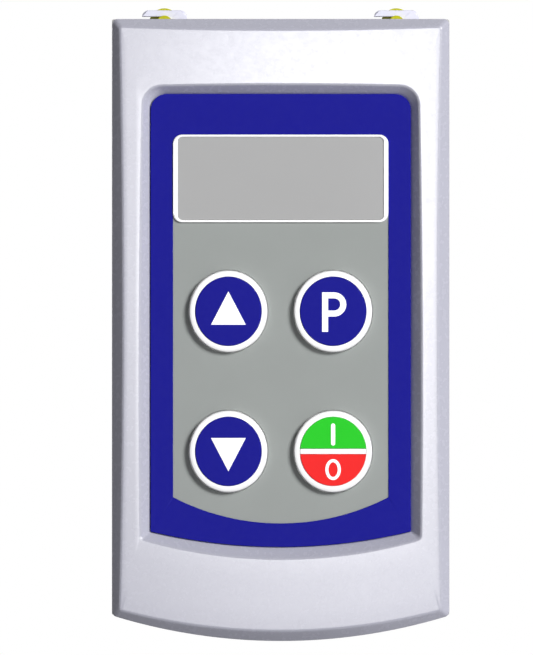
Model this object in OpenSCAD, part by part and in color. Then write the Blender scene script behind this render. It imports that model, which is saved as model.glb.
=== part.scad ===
// Compact variable frequency drive: a plastic housing and a hooded front cover with a keypad
// and display, on a finned heatsink with a lift-out fan, held to a cabinet by four studs.
// +Z is up, +X is right, the front faces -Y, and the cabinet's surface is the plane y = 0.
// The origin is the middle of the stud pattern. Sizes are in millimetres.

/* [Overall] */
// Width of the housing, left to right
body_w = 68; // [66:0.5:90]
// Height of the housing, without the chin of the cover
body_h = 120; // [118:1:160]
// Depth of the housing shell
housing_d = 46; // [46:0.5:70]
// Depth of the front cover at its middle
cover_d = 26; // [24:0.5:40]
// Wall of the housing and of the front cover
wall = 2.2; // [1.6:0.1:2.7]

/* [Front cover] */
// Radius of the arc along the bottom of the cover
chin_r = 114.7; // [95:0.1:200]
// How far the chin hangs below the housing
chin_drop = 5.2; // [4:0.1:8]
// Radius of the crown across the front face
crown_r = 730; // [500:10:2000]
// Chamfer along both sides of the front face
side_chamfer = 3.1; // [1:0.1:3.6]
// Chamfer along the top of the front face
top_chamfer = 2.3; // [1:0.1:3]
// Chamfer along the chin
chin_chamfer = 2.1; // [1:0.1:3]
// Depth of the pocket that holds the keypad
pocket_depth = 2.9; // [2.4:0.1:3.6]
// How much wider the pocket is at the front than at its floor, on each side
pocket_flare = 2.75; // [2:0.05:3.6]
// How much higher the pocket is at the front than at its floor, at the top
pocket_flare_top = 2.45; // [2:0.05:3.6]
// How much lower the pocket is at the front than at its floor, at the bottom
pocket_flare_bottom = 2.8; // [2:0.05:3.6]

/* [Keypad] */
// From the side of the cover to the blue panel
panel_margin = 7.9; // [7.4:0.1:9]
// From the top of the cover to the blue panel
panel_top_margin = 15.25; // [13:0.05:18]
// From the bottom of the housing up to the lowest point of the blue panel
panel_bottom_margin = 13.9; // [12:0.1:17]
// Radius of the arc along the bottom of the blue panel
panel_r = 112; // [90:1:200]
// Radius of the panel's corners
panel_corner = 3.2; // [1:0.1:6]
// Thickness of the blue panel
panel_t = 0.6; // [0.3:0.1:0.9]
// Thickness of the grey inlay
inlay_t = 0.4; // [0.2:0.1:0.8]
// Width of the grey inlay and of the display frame
inlay_w = 43.2; // [42:0.1:46]
// Radius of the arc along the bottom of the grey inlay
inlay_r = 47; // [30:1:90]
// From the lowest point of the blue panel up to the grey inlay
inlay_margin = 4.7; // [2:0.1:5]
// Left key centre to right key centre
key_pitch_x = 21; // [20:0.1:23]
// Upper key centre to lower key centre
key_pitch_z = 28.1; // [24:0.1:30]
// From the lowest point of the blue panel up to the lower key centres
key_margin = 19.15; // [18:0.05:22]
// Radius of a key's white cap
key_r = 8; // [6.5:0.1:8.6]
// Width of the white ring round a key's coloured face
key_ring = 1.2; // [0.8:0.1:2]
// How far a key stands out of the blue panel
key_proud = 1.3; // [1:0.1:1.6]
// Travel of a key
key_travel = 0.7; // [0.3:0.1:1]
// Clearance round a key, and from a piece that moves to what it passes
move_gap = 0.3; // [0.2:0.05:0.4]

/* [Display] */
// Height of the display frame
display_h = 17.6; // [15:0.1:19]
// From the panel's top edge down to the display frame
display_margin = 8.15; // [7:0.05:10]
// Width of the frame's sides
frame_side = 0.95; // [0.6:0.05:2]
// Width of the frame's top and bottom
frame_edge = 0.46; // [0.4:0.02:2]
// How far the frame stands out of the pocket floor
frame_t = 0.9; // [0.6:0.1:1.2]

/* [Heatsink and mounting] */
// Width of the heatsink
heatsink_w = 62; // [62:0.5:66]
// Thickness of the heatsink's base
base_t = 6; // [5:0.5:8]
// Height of the fins behind the base
fin_h = 34; // [34:0.5:50]
// Thickness of a fin
fin_t = 1.6; // [1.2:0.1:2.4]
// Thickness of the steel mounting plate
plate_t = 2; // [1.5:0.1:3]
// Left stud to right stud
stud_pitch_x = 47.6; // [40:0.1:50]
// How far the studs stand above the housing's top and below its bottom
stud_rise = 0.3; // [0:0.1:2]
// Radius of a stud's thread, M3
stud_r = 1.5; // [1.2:0.1:2.5]
// Length of thread behind the collar
stud_tail = 6; // [4:0.5:12]
// Radius of a stud's collar
collar_r = 3.15; // [2.8:0.05:4]
// Thickness of a stud's collar, which sets the plate off the cabinet
collar_t = 4; // [3:0.1:8]
// Width of a mounting lug
lug_w = 9.2; // [8.5:0.1:14]

/* [Fan] */
// Side of the square fan
fan_size = 35; // [30:0.5:35]
// Thickness of the fan
fan_t = 10; // [9:0.5:10]
// Number of blades
fan_blades = 7; // [5:1:9]
// Height of the fan cover
fan_cover_h = 13.7; // [13.7:0.1:14]

/* [Hidden] */
$fn = 72;
eps = 0.01;
arc_fn = 360;
board_t = 1.6;
seam = 0.2;
m3_r = 1.5;
m3_head_r = 2.75;
m3_head_t = 2;
m3_hole_r = 1.7;

// Levels in depth, from the cabinet forwards
plate_back = -collar_t;
plate_front = plate_back - plate_t;
base_back = plate_front - fin_h;
housing_back = base_back - base_t;
housing_front = housing_back - housing_d;
cover_back = housing_front - seam;
cover_front = housing_front - cover_d;
floor_front = cover_front + pocket_depth;
floor_back = floor_front + wall;
panel_front = floor_front - panel_t;
rear_wall_front = housing_back - wall;
power_board_back = rear_wall_front - 8.2;
power_board_front = power_board_back - board_t;
control_board_back = power_board_front - 24.4;
control_board_front = control_board_back - board_t;

// Heights and half widths of the shells
top = body_h / 2;
bottom = -body_h / 2;
half_w = body_w / 2;
in_half_w = half_w - wall;
chin_z = bottom - chin_drop;
chin_centre = chin_z + chin_r;

// The keypad's outlines and centres
panel_w = body_w - 2 * panel_margin;
panel_top = top - panel_top_margin;
panel_bottom = bottom + panel_bottom_margin;
inlay_bottom = panel_bottom + inlay_margin;
display_top = panel_top - display_margin;
display_bottom = display_top - display_h;
display_mid = (display_top + display_bottom) / 2;
low_key_z = panel_bottom + key_margin;
high_key_z = low_key_z + key_pitch_z;
UP = [-key_pitch_x / 2, high_key_z];
PROGRAM = [key_pitch_x / 2, high_key_z];
DOWN = [-key_pitch_x / 2, low_key_z];
RUN_STOP = [key_pitch_x / 2, low_key_z];
KEYS = [UP, PROGRAM, DOWN, RUN_STOP];
face_r = key_r - key_ring;

// A key, its flange behind the pocket floor, and the switch that it presses
key_front = panel_front - key_proud;
key_face_t = 0.8;
key_face_proud = 0.2;
flange_r = key_r + 1;
flange_t = 0.8;
flange_front = floor_back + move_gap;
key_back = flange_front + flange_t;
key_wall = 1.2;
plunger_r = 1.7;
plunger_fit = 0.05;
switch_side = 6;
switch_h = 3;
plunger_in = 1.2;
switch_front = key_back + key_travel + move_gap;
keypad_board_front = switch_front + switch_h;
keypad_board_back = keypad_board_front + board_t;
keypad_board_w = panel_w + 2;
keypad_board_top = panel_top - 1.5;
keypad_board_bottom = panel_bottom + 5;
boss_r = 2.6;
keypad_screw_r = 1.1;
KEYPAD_SCREWS = [for (x = [-1, 1], z = [keypad_board_top - 3.5, keypad_board_bottom + 3.5])
    [x * (keypad_board_w / 2 - 3), z]];

// The connector between the keypad board and the control board
link_z = (high_key_z + low_key_z) / 2;
link_w = 14;
link_h = 5.2;
link_gap = 0.5;
link_pin_r = 0.35;
link_pins = 5;
link_pitch = 2.54;
socket_back = keypad_board_back + 9;

// Screws, standoffs and screw bosses behind the boards
STANDOFFS = [for (x = [-1, 1], z = [top - 8, bottom + 22]) [x * (in_half_w - 4.8), z]];
standoff_r = 3;
stud_in = 6;
HOUSING_SCREWS = [for (x = [-24, 24], z = [-30, 30]) [x, z]];
housing_screw_in = 4.2;

// The heatsink, its fins and the plate's screws
heatsink_bottom = bottom + 4;
fan_cover_top = top - 2;
heatsink_top = fan_cover_top - fan_cover_h - move_gap;
side_t = 3;
fin_pitch = 7.2;
fin_count = 7;
fin_boss_r = 3.4;
plate_screw_in = 9;
PLATE_SCREWS = [for (x = [-1, 1], z = [heatsink_bottom + 6, heatsink_top - 6])
    [x * (heatsink_w / 2 - 4.5), z]];
lug_top = top + stud_rise + 2.7;
stud_z = top + stud_rise;
slot_w = 2.7;
neck_r = slot_w / 2 - 0.05;
tip_r = 1.62;
tip_t = 1.2;
lug_corner = 1.4;
STUDS = [for (x = [-1, 1], z = [-1, 1]) [x * stud_pitch_x / 2, z * stud_z]];

// The fan under its cover
fan_wall = 1.5;
fan_back = plate_front - tip_t - 0.4;
fan_front = housing_back + move_gap;
fan_mid = (fan_front + fan_back) / 2;
fan_half_w = heatsink_w / 2 - 1;
fan_z = fan_cover_top - fan_wall - fan_t;
fan_bore_r = fan_size / 2 - 1.3;
fan_hub_r = 9;
fan_tip_gap = 0.6;
fan_screw_at = fan_size / 2 - 2.9;
fan_screw_r = 1.4;
fan_bearing_r = 2;
fan_shaft_r = 1;
fan_shaft_fit = 0.05;
FAN_SCREWS = [for (x = [-1, 1], y = [-1, 1]) [x * fan_screw_at, fan_mid + y * fan_screw_at]];
fan_link_x = heatsink_w / 2 - 6;
fan_link_w = 5.2;
fan_tongue_w = 3.2;
fan_tongue_t = 1.6;
fan_link_y = housing_back + 2.7;
fan_link_back = base_back - 1;

// Terminals
pole_pitch = 7.62;
poles = 7;
power_block_w = poles * pole_pitch;
power_block_bottom = bottom + wall + 0.6;
power_block_top = power_block_bottom + 15;
power_block_front = power_board_front - 18;
clamp_w = 5.6;
wire_r = 2.3;
ways = 10;
way_pitch = 3.81;
plug_w = ways * way_pitch;
plug_back = control_board_front - move_gap;
plug_front = control_board_front - 7;
plug_bottom = bottom + 2;
plug_top = plug_bottom + 15.7;
way_pin = 6;
control_board_bottom = plug_top + move_gap;
control_board_top = top - 4;

// A box between a low and a high value on each axis
module block(x, y, z)
    translate([x[0], y[0], z[0]]) cube([x[1] - x[0], y[1] - y[0], z[1] - z[0]]);

// An outline drawn in X and Z, made solid from the depth "back" forwards to "front"
module slab(back, front)
    translate([0, back, 0]) rotate([90, 0, 0]) linear_extrude(back - front) children();

// A round bar along Y at a place [x, z]
module rod(at, r, back, front)
    translate([at[0], back, at[1]]) rotate([90, 0, 0]) cylinder(r = r, h = back - front);

// A round bar along Z at a place [x, y]
module post(at, r, low, high) translate([at[0], at[1], low]) cylinder(r = r, h = high - low);

// An upright outline with rounded corners
module rounded(w, low, high, corner)
    offset(corner) offset(-corner) translate([-w / 2, low]) square([w, high - low]);

// An upright outline with rounded upper corners, whose lower edge is an arc of radius r
module arched(w, low, high, r, corner) intersection() {
    rounded(w, low - corner, high, corner);
    translate([0, low + r]) circle(r, $fn = arc_fn);
}

module panel_outline() arched(panel_w, panel_bottom, panel_top, panel_r, panel_corner);
module inlay_outline(gap = 0)
    offset(gap) arched(inlay_w, inlay_bottom, display_mid, inlay_r, 0.4);
module frame_outline() rounded(inlay_w, display_bottom, display_top, 1.8);
module window_outline()
    rounded(inlay_w - 2 * frame_side, display_bottom + frame_edge, display_top - frame_edge, 1);

// ---- Front cover and keypad ----

// The cover's outer form: chamfered sides, top and chin, and a crowned face
module cover_form() intersection() {
    block([-half_w, half_w], [cover_front, cover_back], [chin_z, top]);
    translate([0, 0, chin_z - 1]) linear_extrude(top - chin_z + 2) polygon([
        [-half_w, cover_back + 1], [half_w, cover_back + 1],
        [half_w, cover_front + side_chamfer], [half_w - side_chamfer, cover_front],
        [side_chamfer - half_w, cover_front], [-half_w, cover_front + side_chamfer]]);
    translate([-half_w - 1, 0, 0]) rotate([90, 0, 90]) linear_extrude(body_w + 2) polygon([
        [cover_back + 1, chin_z - 1], [cover_back + 1, top],
        [cover_front + top_chamfer, top], [cover_front, top - top_chamfer],
        [cover_front, chin_z - 1]]);
    translate([0, cover_back + 1, chin_centre]) rotate([90, 0, 0])
        rotate_extrude($fn = arc_fn) polygon([
            [0, 0], [chin_r, 0], [chin_r, cover_back + 1 - cover_front - chin_chamfer],
            [chin_r - chin_chamfer, cover_back + 1 - cover_front],
            [0, cover_back + 1 - cover_front]]);
    translate([0, cover_front + crown_r, chin_z - 1])
        cylinder(r = crown_r, h = top - chin_z + 2, $fn = arc_fn);
}

// The pocket's cutter: sloped sides, a sloped top and a cone along the arc of the bottom,
// carried 1 mm past the front face
module pocket() {
    flare = (pocket_depth + 1) / pocket_depth;
    intersection() {
        translate([0, 0, chin_z - 1]) linear_extrude(top - chin_z + 2) polygon([
            [-panel_w / 2, floor_front], [panel_w / 2, floor_front],
            [panel_w / 2 + pocket_flare * flare, cover_front - 1],
            [-panel_w / 2 - pocket_flare * flare, cover_front - 1]]);
        translate([-half_w - 1, 0, 0]) rotate([90, 0, 90]) linear_extrude(body_w + 2) polygon([
            [floor_front, chin_z - 1], [floor_front, panel_top],
            [cover_front - 1, panel_top + pocket_flare_top * flare],
            [cover_front - 1, chin_z - 1]]);
        translate([0, floor_front, panel_bottom + panel_r]) rotate([90, 0, 0])
            cylinder(r1 = panel_r, r2 = panel_r + pocket_flare_bottom * flare,
                h = pocket_depth + 1, $fn = arc_fn);
    }
}

// Tongues behind the cover that guide it into the housing
tongue_l = 6;
tongue_h = 10;
tongue_t = 1.2;
module cover_tongues() for (side = [0, 1], z = [top - 30, bottom + 30]) mirror([side, 0, 0]) {
    block([in_half_w - move_gap - tongue_t, in_half_w + eps],
        [cover_back - tongue_l, cover_back], [z - tongue_h / 2, z + tongue_h / 2]);
    block([in_half_w - move_gap - tongue_t, in_half_w - move_gap],
        [cover_back - eps, cover_back + tongue_l], [z - tongue_h / 2, z + tongue_h / 2]);
}

module front_cover() color("lavender") {
    difference() {
        cover_form();
        block([-in_half_w, in_half_w], [floor_back, cover_back + 1], [bottom + wall, top - wall]);
        intersection() {
            block([-in_half_w, in_half_w], [floor_back, cover_back - wall], [chin_z, 0]);
            rod([0, chin_centre], chin_r - wall, cover_back, floor_back - 1, $fn = arc_fn);
        }
        block([4 - in_half_w, in_half_w - 4], [cover_front + wall + 0.8, floor_back + eps],
            [panel_top + pocket_flare_top + wall, top - wall - 1.5]);
        pocket();
        slab(floor_back + 1, floor_front - 1)
            translate([0, display_mid]) square([inlay_w - 4, display_h - 3], center = true);
        for (key = KEYS) rod(key, key_r + move_gap, floor_back + 1, floor_front - 1);
    }
    difference() {
        for (at = KEYPAD_SCREWS) rod(at, boss_r, keypad_board_front, floor_back - eps);
        for (at = KEYPAD_SCREWS) rod(at, keypad_screw_r, keypad_board_front + 1, floor_back + 0.4);
    }
    cover_tongues();
}

module keypad_overlay() color("#232396") slab(floor_front, panel_front) difference() {
    panel_outline();
    inlay_outline();
    frame_outline();
}

module keypad_inlay() color("#a4a8a6") slab(floor_front, floor_front - inlay_t) difference() {
    inlay_outline();
    frame_outline();
    for (key = KEYS) translate(key) circle(key_r + move_gap);
}

module display_frame() color("white") slab(floor_front, floor_front - frame_t) difference() {
    frame_outline();
    window_outline();
}

module display_window() color("#b5b5b5")
    slab(floor_front, floor_front - frame_t + 0.2) window_outline();

module display_module() color("#3a3d40") {
    slab(keypad_board_front, floor_front + 0.3)
        translate([0, display_mid]) square([inlay_w - 5, display_h - 4], center = true);
    slab(keypad_board_front, floor_back + 0.5)
        translate([0, display_mid]) square([inlay_w, display_h], center = true);
}

// A hollow cap with a flange that stops it behind the pocket floor
module key_cap(at) color("white") {
    difference() {
        union() {
            rod(at, key_r, key_back, key_front);
            rod(at, flange_r, key_back, flange_front);
        }
        rod(at, face_r, key_front + key_face_t - key_face_proud, key_front - 1);
        rod(at, key_r - key_wall, key_back + 1, key_front + key_face_t + key_wall);
    }
    rod(at, plunger_r + 0.8, key_back, key_front + key_face_t + key_wall - eps);
}

// A key's coloured disc, with the outline given as its symbol cut into the front
module key_disc(at) difference() {
    rod(at, face_r, key_front + key_face_t - key_face_proud, key_front - key_face_proud);
    slab(key_front, key_front - key_face_proud - 1) translate(at) children();
}

module key_plunger(at) color("#303030")
    rod(at, plunger_r, switch_front + plunger_in, key_back);

// An arrow head that points up, drawn round the key's centre
arrow_half = 3.5;
arrow_tip = 4;
arrow_foot = -2.7;
module arrow() polygon([[-arrow_half, arrow_foot], [arrow_half, arrow_foot], [0, arrow_tip]]);

// The letter of the program key, as a stem and a bowl of one stroke
letter_stroke = 1.23;
letter_left = -2.2;
letter_right = 2.7;
letter_low = -4.1;
letter_high = 3.8;
module letter_bowl(inset) {
    bowl_r = (letter_high + 1.07) / 2 - inset;
    translate([letter_left + letter_stroke / 2, letter_high - inset - 2 * bowl_r])
        square([letter_right - bowl_r - inset - letter_left - letter_stroke / 2, 2 * bowl_r]);
    translate([letter_right - bowl_r - inset, letter_high - inset - bowl_r]) circle(bowl_r);
}
module letter() {
    translate([letter_left, letter_low]) square([letter_stroke, letter_high - letter_low]);
    difference() {
        letter_bowl(0);
        letter_bowl(letter_stroke);
    }
}

// The bar of the run half and the ring of the stop half
run_bar_w = 0.95;
module run_bar() {
    translate([-run_bar_w / 2, 1.6]) square([run_bar_w, 3.5]);
    for (z = [1.6, 5.1]) translate([0, z]) circle(run_bar_w / 2);
}
module stop_ring() translate([0, -3.67]) difference() {
    scale([1.55, 2.1]) circle(1);
    scale([0.93, 1.48]) circle(1);
}

module up_key_cap() key_cap(UP);
module up_key_face() color("#232396") key_disc(UP) arrow();
module up_key_plunger() key_plunger(UP);
module down_key_cap() key_cap(DOWN);
module down_key_face() color("#232396") key_disc(DOWN) mirror([0, 1]) arrow();
module down_key_plunger() key_plunger(DOWN);
module program_key_cap() key_cap(PROGRAM);
module program_key_face() color("#232396") key_disc(PROGRAM) letter();
module program_key_plunger() key_plunger(PROGRAM);
module run_stop_key_plunger() key_plunger(RUN_STOP);

// The half of a key's disc above or below the white bar across its middle
half_gap = 0.55;
module half_disc(side) intersection() {
    key_disc(RUN_STOP) children();
    slab(key_back, key_front - 2) translate(RUN_STOP)
        translate([-key_r, side > 0 ? half_gap : -half_gap - key_r]) square([2 * key_r, key_r]);
}
module run_face() color("#33dd33") half_disc(1) run_bar();
module stop_face() color("#ff3333") half_disc(-1) stop_ring();
module run_stop_key_cap() {
    key_cap(RUN_STOP);
    color("white") intersection() {
        rod(RUN_STOP, face_r + eps, key_front + key_face_t, key_front - key_face_proud);
        slab(key_back, key_front - 1) translate(RUN_STOP)
            square([2 * key_r, 2 * half_gap], center = true);
    }
}

module keypad_board() color("#1f6b3a") difference() {
    slab(keypad_board_back, keypad_board_front)
        rounded(keypad_board_w, keypad_board_bottom, keypad_board_top, 1.5);
    for (at = KEYPAD_SCREWS) rod(at, keypad_screw_r + 0.2, keypad_board_back + 1,
        keypad_board_front - 1);
}

module tact_switches() color("#8e9296") for (key = KEYS) difference() {
    slab(keypad_board_front, switch_front) translate(key) square(switch_side, center = true);
    rod(key, plunger_r + plunger_fit, switch_front + plunger_in + key_travel + 0.2,
        switch_front - 1);
}

module keypad_board_screws() color("silver") for (at = KEYPAD_SCREWS) {
    rod(at, keypad_screw_r, keypad_board_back, floor_back + 0.6);
    difference() {
        rod(at, 2.2, keypad_board_back + 1.5, keypad_board_back);
        cross_slot(at, keypad_board_back + 1.5, 1);
    }
}

// A cross recess for a screw head that faces the front (dir -1) or the back (dir 1)
module cross_slot(at, face, dir, size = 2.6, deep = 0.9) for (turn = [0, 90])
    translate([at[0], face, at[1]]) rotate([0, turn, 0])
        cube([size, 2 * deep, 0.6], center = true);

link_pin_in = 4.6;
function link_pin(column, row) =
    [(column - (link_pins - 1) / 2) * link_pitch, link_z + (row - 0.5) * link_pitch];

module keypad_socket() color("#202124") difference() {
    slab(socket_back, keypad_board_back) translate([0, link_z])
        square([link_w, link_h], center = true);
    for (column = [0 : link_pins - 1], row = [0, 1]) rod(link_pin(column, row),
        link_pin_r + move_gap, socket_back + 1, socket_back - link_pin_in - move_gap);
}

module keypad_header() {
    color("#202124") slab(control_board_front, socket_back + link_gap) translate([0, link_z])
        square([link_w, link_h], center = true);
    color("gold") for (column = [0 : link_pins - 1], row = [0, 1]) rod(link_pin(column, row),
        link_pin_r, socket_back + link_gap + eps, socket_back - link_pin_in);
}

// ---- Housing and boards ----

vent_w = 2.4;
vent_pitch = 5.6;
side_vents = 9;
top_vents = 8;
vent_back = housing_back - 8;
vent_front = housing_front + 9;
module side_vent_row() for (i = [0 : side_vents - 1])
    block([-half_w - 1, half_w + 1], [vent_front, vent_back],
        [i * vent_pitch - 18, i * vent_pitch - 18 + vent_w]);
module top_vent_row() for (i = [0 : top_vents - 1])
    translate([(i - (top_vents - 1) / 2) * vent_pitch, 0, 0])
        block([-vent_w / 2, vent_w / 2], [vent_front, vent_back], [top - wall - 1, top + 1]);

wire_gap = 0.6;
module housing() color("ghostwhite") {
    difference() {
        block([-half_w, half_w], [housing_front, housing_back], [bottom, top]);
        block([-in_half_w, in_half_w], [housing_front - 1, rear_wall_front],
            [bottom + wall, top - wall]);
        side_vent_row();
        top_vent_row();
        block([-power_block_w / 2, power_block_w / 2],
            [power_block_front - 1, power_board_front - 1], [bottom - 1, bottom + wall + 1]);
        block([-plug_w / 2 - wire_gap, plug_w / 2 + wire_gap],
            [housing_front - 1, plug_back + wire_gap], [bottom - 1, bottom + wall + 1]);
        slab(housing_back + 1, rear_wall_front - 1)
            square([module_w + 1, module_h + 1], center = true);
        for (at = HOUSING_SCREWS) rod(at, m3_hole_r, housing_back + 1, rear_wall_front - 1);
        fan_link_window(housing_back + 1, rear_wall_front - 1);
    }
    difference() {
        for (at = STANDOFFS) rod(at, standoff_r, rear_wall_front + eps, power_board_back);
        for (at = STANDOFFS) rod(at, m3_r, rear_wall_front + eps, power_board_back - 1);
    }
}

module housing_screws() color("silver") for (at = HOUSING_SCREWS) {
    rod(at, m3_r, housing_back + housing_screw_in, rear_wall_front);
    difference() {
        rod(at, m3_head_r, rear_wall_front, rear_wall_front - m3_head_t);
        cross_slot(at, rear_wall_front - m3_head_t, -1);
    }
}

module_w = 44;
module_h = 28;
module_t = 5.5;
module power_module() {
    color("#26282b") slab(housing_back, housing_back - module_t)
        square([module_w, module_h], center = true);
    color("silver") for (i = [-9 : 9], z = [-1, 1])
        slab(housing_back - module_t + eps, power_board_back)
            translate([i * 2.2, z * (module_h / 2 - 1.5)]) square(0.8, center = true);
}

power_board_w = 2 * in_half_w - 2.6;
module power_board() color("#1f6b3a") difference() {
    slab(power_board_back, power_board_front)
        rounded(power_board_w, bottom + wall + 1.3, top - wall - 1.3, 1);
    for (at = STANDOFFS) rod(at, m3_r + 0.1, power_board_back + 1, power_board_front - 1);
}

// Hexagonal standoffs, screwed through the power board into the housing's bosses
module board_standoffs() color("#c9a34a") for (at = STANDOFFS) {
    difference() {
        rod(at, standoff_r, power_board_front, control_board_back, $fn = 6);
        rod(at, m3_r, control_board_back + stud_in + 0.5, control_board_back - 1);
    }
    rod(at, m3_r, power_board_back + stud_in, power_board_front);
}

capacitor_r = 10.5;
capacitor_z = top - 24;
module bus_capacitors() color("#2b3f6b") for (x = [-14, 9]) difference() {
    rod([x, capacitor_z], capacitor_r, power_board_front, control_board_back + 1.2);
    translate([x, power_board_front - 3, capacitor_z]) rotate([90, 0, 0]) rotate_extrude()
        translate([capacitor_r + 0.5, 0]) circle(1);
}

choke_ring = 6.5;
choke_wire = 3.6;
module line_choke() translate([19, power_board_front - choke_wire - 1, 4]) {
    color("#b4602c") rotate([90, 0, 0]) rotate_extrude()
        translate([choke_ring, 0]) circle(choke_wire);
    color("#202124") translate([0, 1 + choke_wire, 0])
        slab(0, -choke_wire) square(2 * choke_ring, center = true);
}

module inrush_relay() color("#e8e4d8") block([-26, -11],
    [power_board_front - 15, power_board_front], [-12, 8]);

module supply_transformer() {
    color("#f1d98a") block([-4, 12], [power_board_front - 16, power_board_front], [-33, -15]);
    color("#3a3d40") block([-8, 16], [power_board_front - 14, power_board_front - 3],
        [-30, -18]);
}

module interboard_connector() color("#202124") block([-12, 12],
    [control_board_back, power_board_front], [capacitor_z - 18.5, capacitor_z - 14]);

module control_board() color("#1f6b3a") difference() {
    slab(control_board_back, control_board_front)
        rounded(power_board_w, control_board_bottom, control_board_top, 1);
    for (at = STANDOFFS) rod(at, m3_r + 0.1, control_board_back + 1, control_board_front - 1);
}

module chip(at, size, tall) color("#26282b") slab(control_board_front, control_board_front - tall)
    translate(at) square(size, center = true);
module control_chips() {
    chip([-8, 22], [12, 12], 1.6);
    chip([14, 30], [9, 6], 2);
    chip([14, 18], [6, 5], 1.6);
    chip([-20, 4], [5, 10], 2.4);
    chip([18, -2], [5, 8], 2.4);
    color("#8e9296") for (x = [-20, -12]) rod([x, 42], 2.5, control_board_front,
        control_board_front - 5.4);
}

module control_board_screws() color("silver") for (at = STANDOFFS) {
    rod(at, m3_r, control_board_back + stud_in, control_board_front);
    difference() {
        rod(at, m3_head_r, control_board_front, control_board_front - m3_head_t);
        cross_slot(at, control_board_front - m3_head_t, -1);
    }
}

// ---- Terminals ----

function pole_x(i) = (i - (poles - 1) / 2) * pole_pitch;
function way_x(i) = (i - (ways - 1) / 2) * way_pitch;
clamp_front = power_block_front + 3;
clamp_back = power_board_front - 4;
clamp_low = power_block_bottom + 3;
clamp_high = power_block_top - 3;
wire_y = (clamp_front + clamp_back) / 2;
terminal_screw_r = 2;
terminal_screw_in = 4;
terminal_screw_z = (clamp_low + clamp_high) / 2;

module power_terminal_block() color("#26282b") difference() {
    block([-power_block_w / 2, power_block_w / 2], [power_block_front, power_board_front],
        [power_block_bottom, power_block_top]);
    for (i = [0 : poles - 1]) translate([pole_x(i), 0, 0]) {
        block([-clamp_w / 2, clamp_w / 2], [clamp_front, clamp_back], [clamp_low, clamp_high]);
        post([0, wire_y], wire_r, power_block_bottom - 1, clamp_low + 1);
        rod([0, terminal_screw_z], terminal_screw_r + 0.6, clamp_front + 1,
            power_block_front - 1);
    }
}

// Steel boxes that the wires are clamped in
module power_terminal_clamps() color("silver") for (i = [0 : poles - 1])
    translate([pole_x(i), 0, 0]) difference() {
        block([-clamp_w / 2, clamp_w / 2], [clamp_front, clamp_back], [clamp_low, clamp_high]);
        block([1 - clamp_w / 2, clamp_w / 2 - 1], [clamp_front + 2, clamp_back - 1],
            [clamp_low - 1, clamp_high + 1]);
        rod([0, terminal_screw_z], terminal_screw_r, clamp_front + terminal_screw_in,
            clamp_front - 1);
    }

module power_terminal_screws() color("#d9c38a") for (i = [0 : poles - 1]) {
    at = [pole_x(i), terminal_screw_z];
    rod(at, terminal_screw_r, clamp_front + terminal_screw_in, clamp_front);
    difference() {
        rod(at, terminal_screw_r + 0.5, clamp_front, clamp_front - 1.8);
        cross_slot(at, clamp_front - 1.8, -1, 3);
    }
}

module control_header() {
    color("#3f8f4f") block([-plug_w / 2, plug_w / 2], [plug_front, control_board_front],
        [control_board_bottom, control_board_bottom + 8]);
    color("silver") for (i = [0 : ways - 1]) post([way_x(i), (plug_front + plug_back) / 2], 0.5,
        control_board_bottom - way_pin, control_board_bottom + eps);
}

way_screw_r = 1.3;
way_screw_z = plug_bottom + 5.5;
module control_plug() color("#3f8f4f") difference() {
    block([-plug_w / 2, plug_w / 2], [plug_front, plug_back], [plug_bottom, plug_top]);
    for (i = [0 : ways - 1]) {
        post([way_x(i), (plug_front + plug_back) / 2], 0.5 + move_gap,
            plug_top - way_pin - move_gap, plug_top + 1);
        post([way_x(i), (plug_front + plug_back) / 2 + 0.8], 1.4, plug_bottom - 1,
            plug_bottom + 7);
        rod([way_x(i), way_screw_z], way_screw_r, plug_front + 2, plug_front - 1);
    }
}

module control_plug_screws() color("silver") for (i = [0 : ways - 1]) difference() {
    rod([way_x(i), way_screw_z], way_screw_r, plug_front + 2, plug_front + 0.4);
    translate([way_x(i), plug_front + 0.4, way_screw_z]) cube([3, 0.9, 0.5], center = true);
}

// ---- Heatsink, mounting plate and studs ----

module fan_link_window(back, front) slab(back, front)
    translate([fan_link_x, heatsink_top - 5]) square([2.4, 2.4], center = true);

earth_x = -heatsink_w / 2 + 4.8;
earth_y = housing_back + 4.8;
earth_r = 2;
earth_in = 8;
module heatsink() color("#c4c6ca") difference() {
    union() {
        block([-heatsink_w / 2, heatsink_w / 2], [housing_back, base_back],
            [heatsink_bottom, heatsink_top]);
        for (side = [0, 1]) mirror([side, 0, 0])
            block([heatsink_w / 2 - side_t, heatsink_w / 2], [base_back - eps, plate_front],
                [heatsink_bottom, heatsink_top]);
        for (i = [0 : fin_count - 1])
            translate([(i - (fin_count - 1) / 2) * fin_pitch, 0, 0])
                block([-fin_t / 2, fin_t / 2], [base_back - eps, plate_front],
                    [heatsink_bottom, heatsink_top]);
        for (at = PLATE_SCREWS) rod(at, fin_boss_r, plate_front, base_back - eps);
        block([-heatsink_w / 2, 9.6 - heatsink_w / 2], [base_back - eps, housing_back + 9.6],
            [heatsink_bottom, heatsink_bottom + 10]);
    }
    for (at = PLATE_SCREWS) rod(at, m3_r, plate_front + 1, plate_front - plate_screw_in);
    for (at = HOUSING_SCREWS) rod(at, m3_r, housing_back + housing_screw_in, housing_back - 1);
    post([earth_x, earth_y], earth_r, heatsink_bottom - 1, heatsink_bottom + earth_in);
    block([fan_link_x - fan_link_w / 2 - 0.1, fan_link_x + fan_link_w / 2 + 0.1],
        [housing_back - 1, fan_link_back], [heatsink_top - 10.1, heatsink_top + 1]);
}

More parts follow.
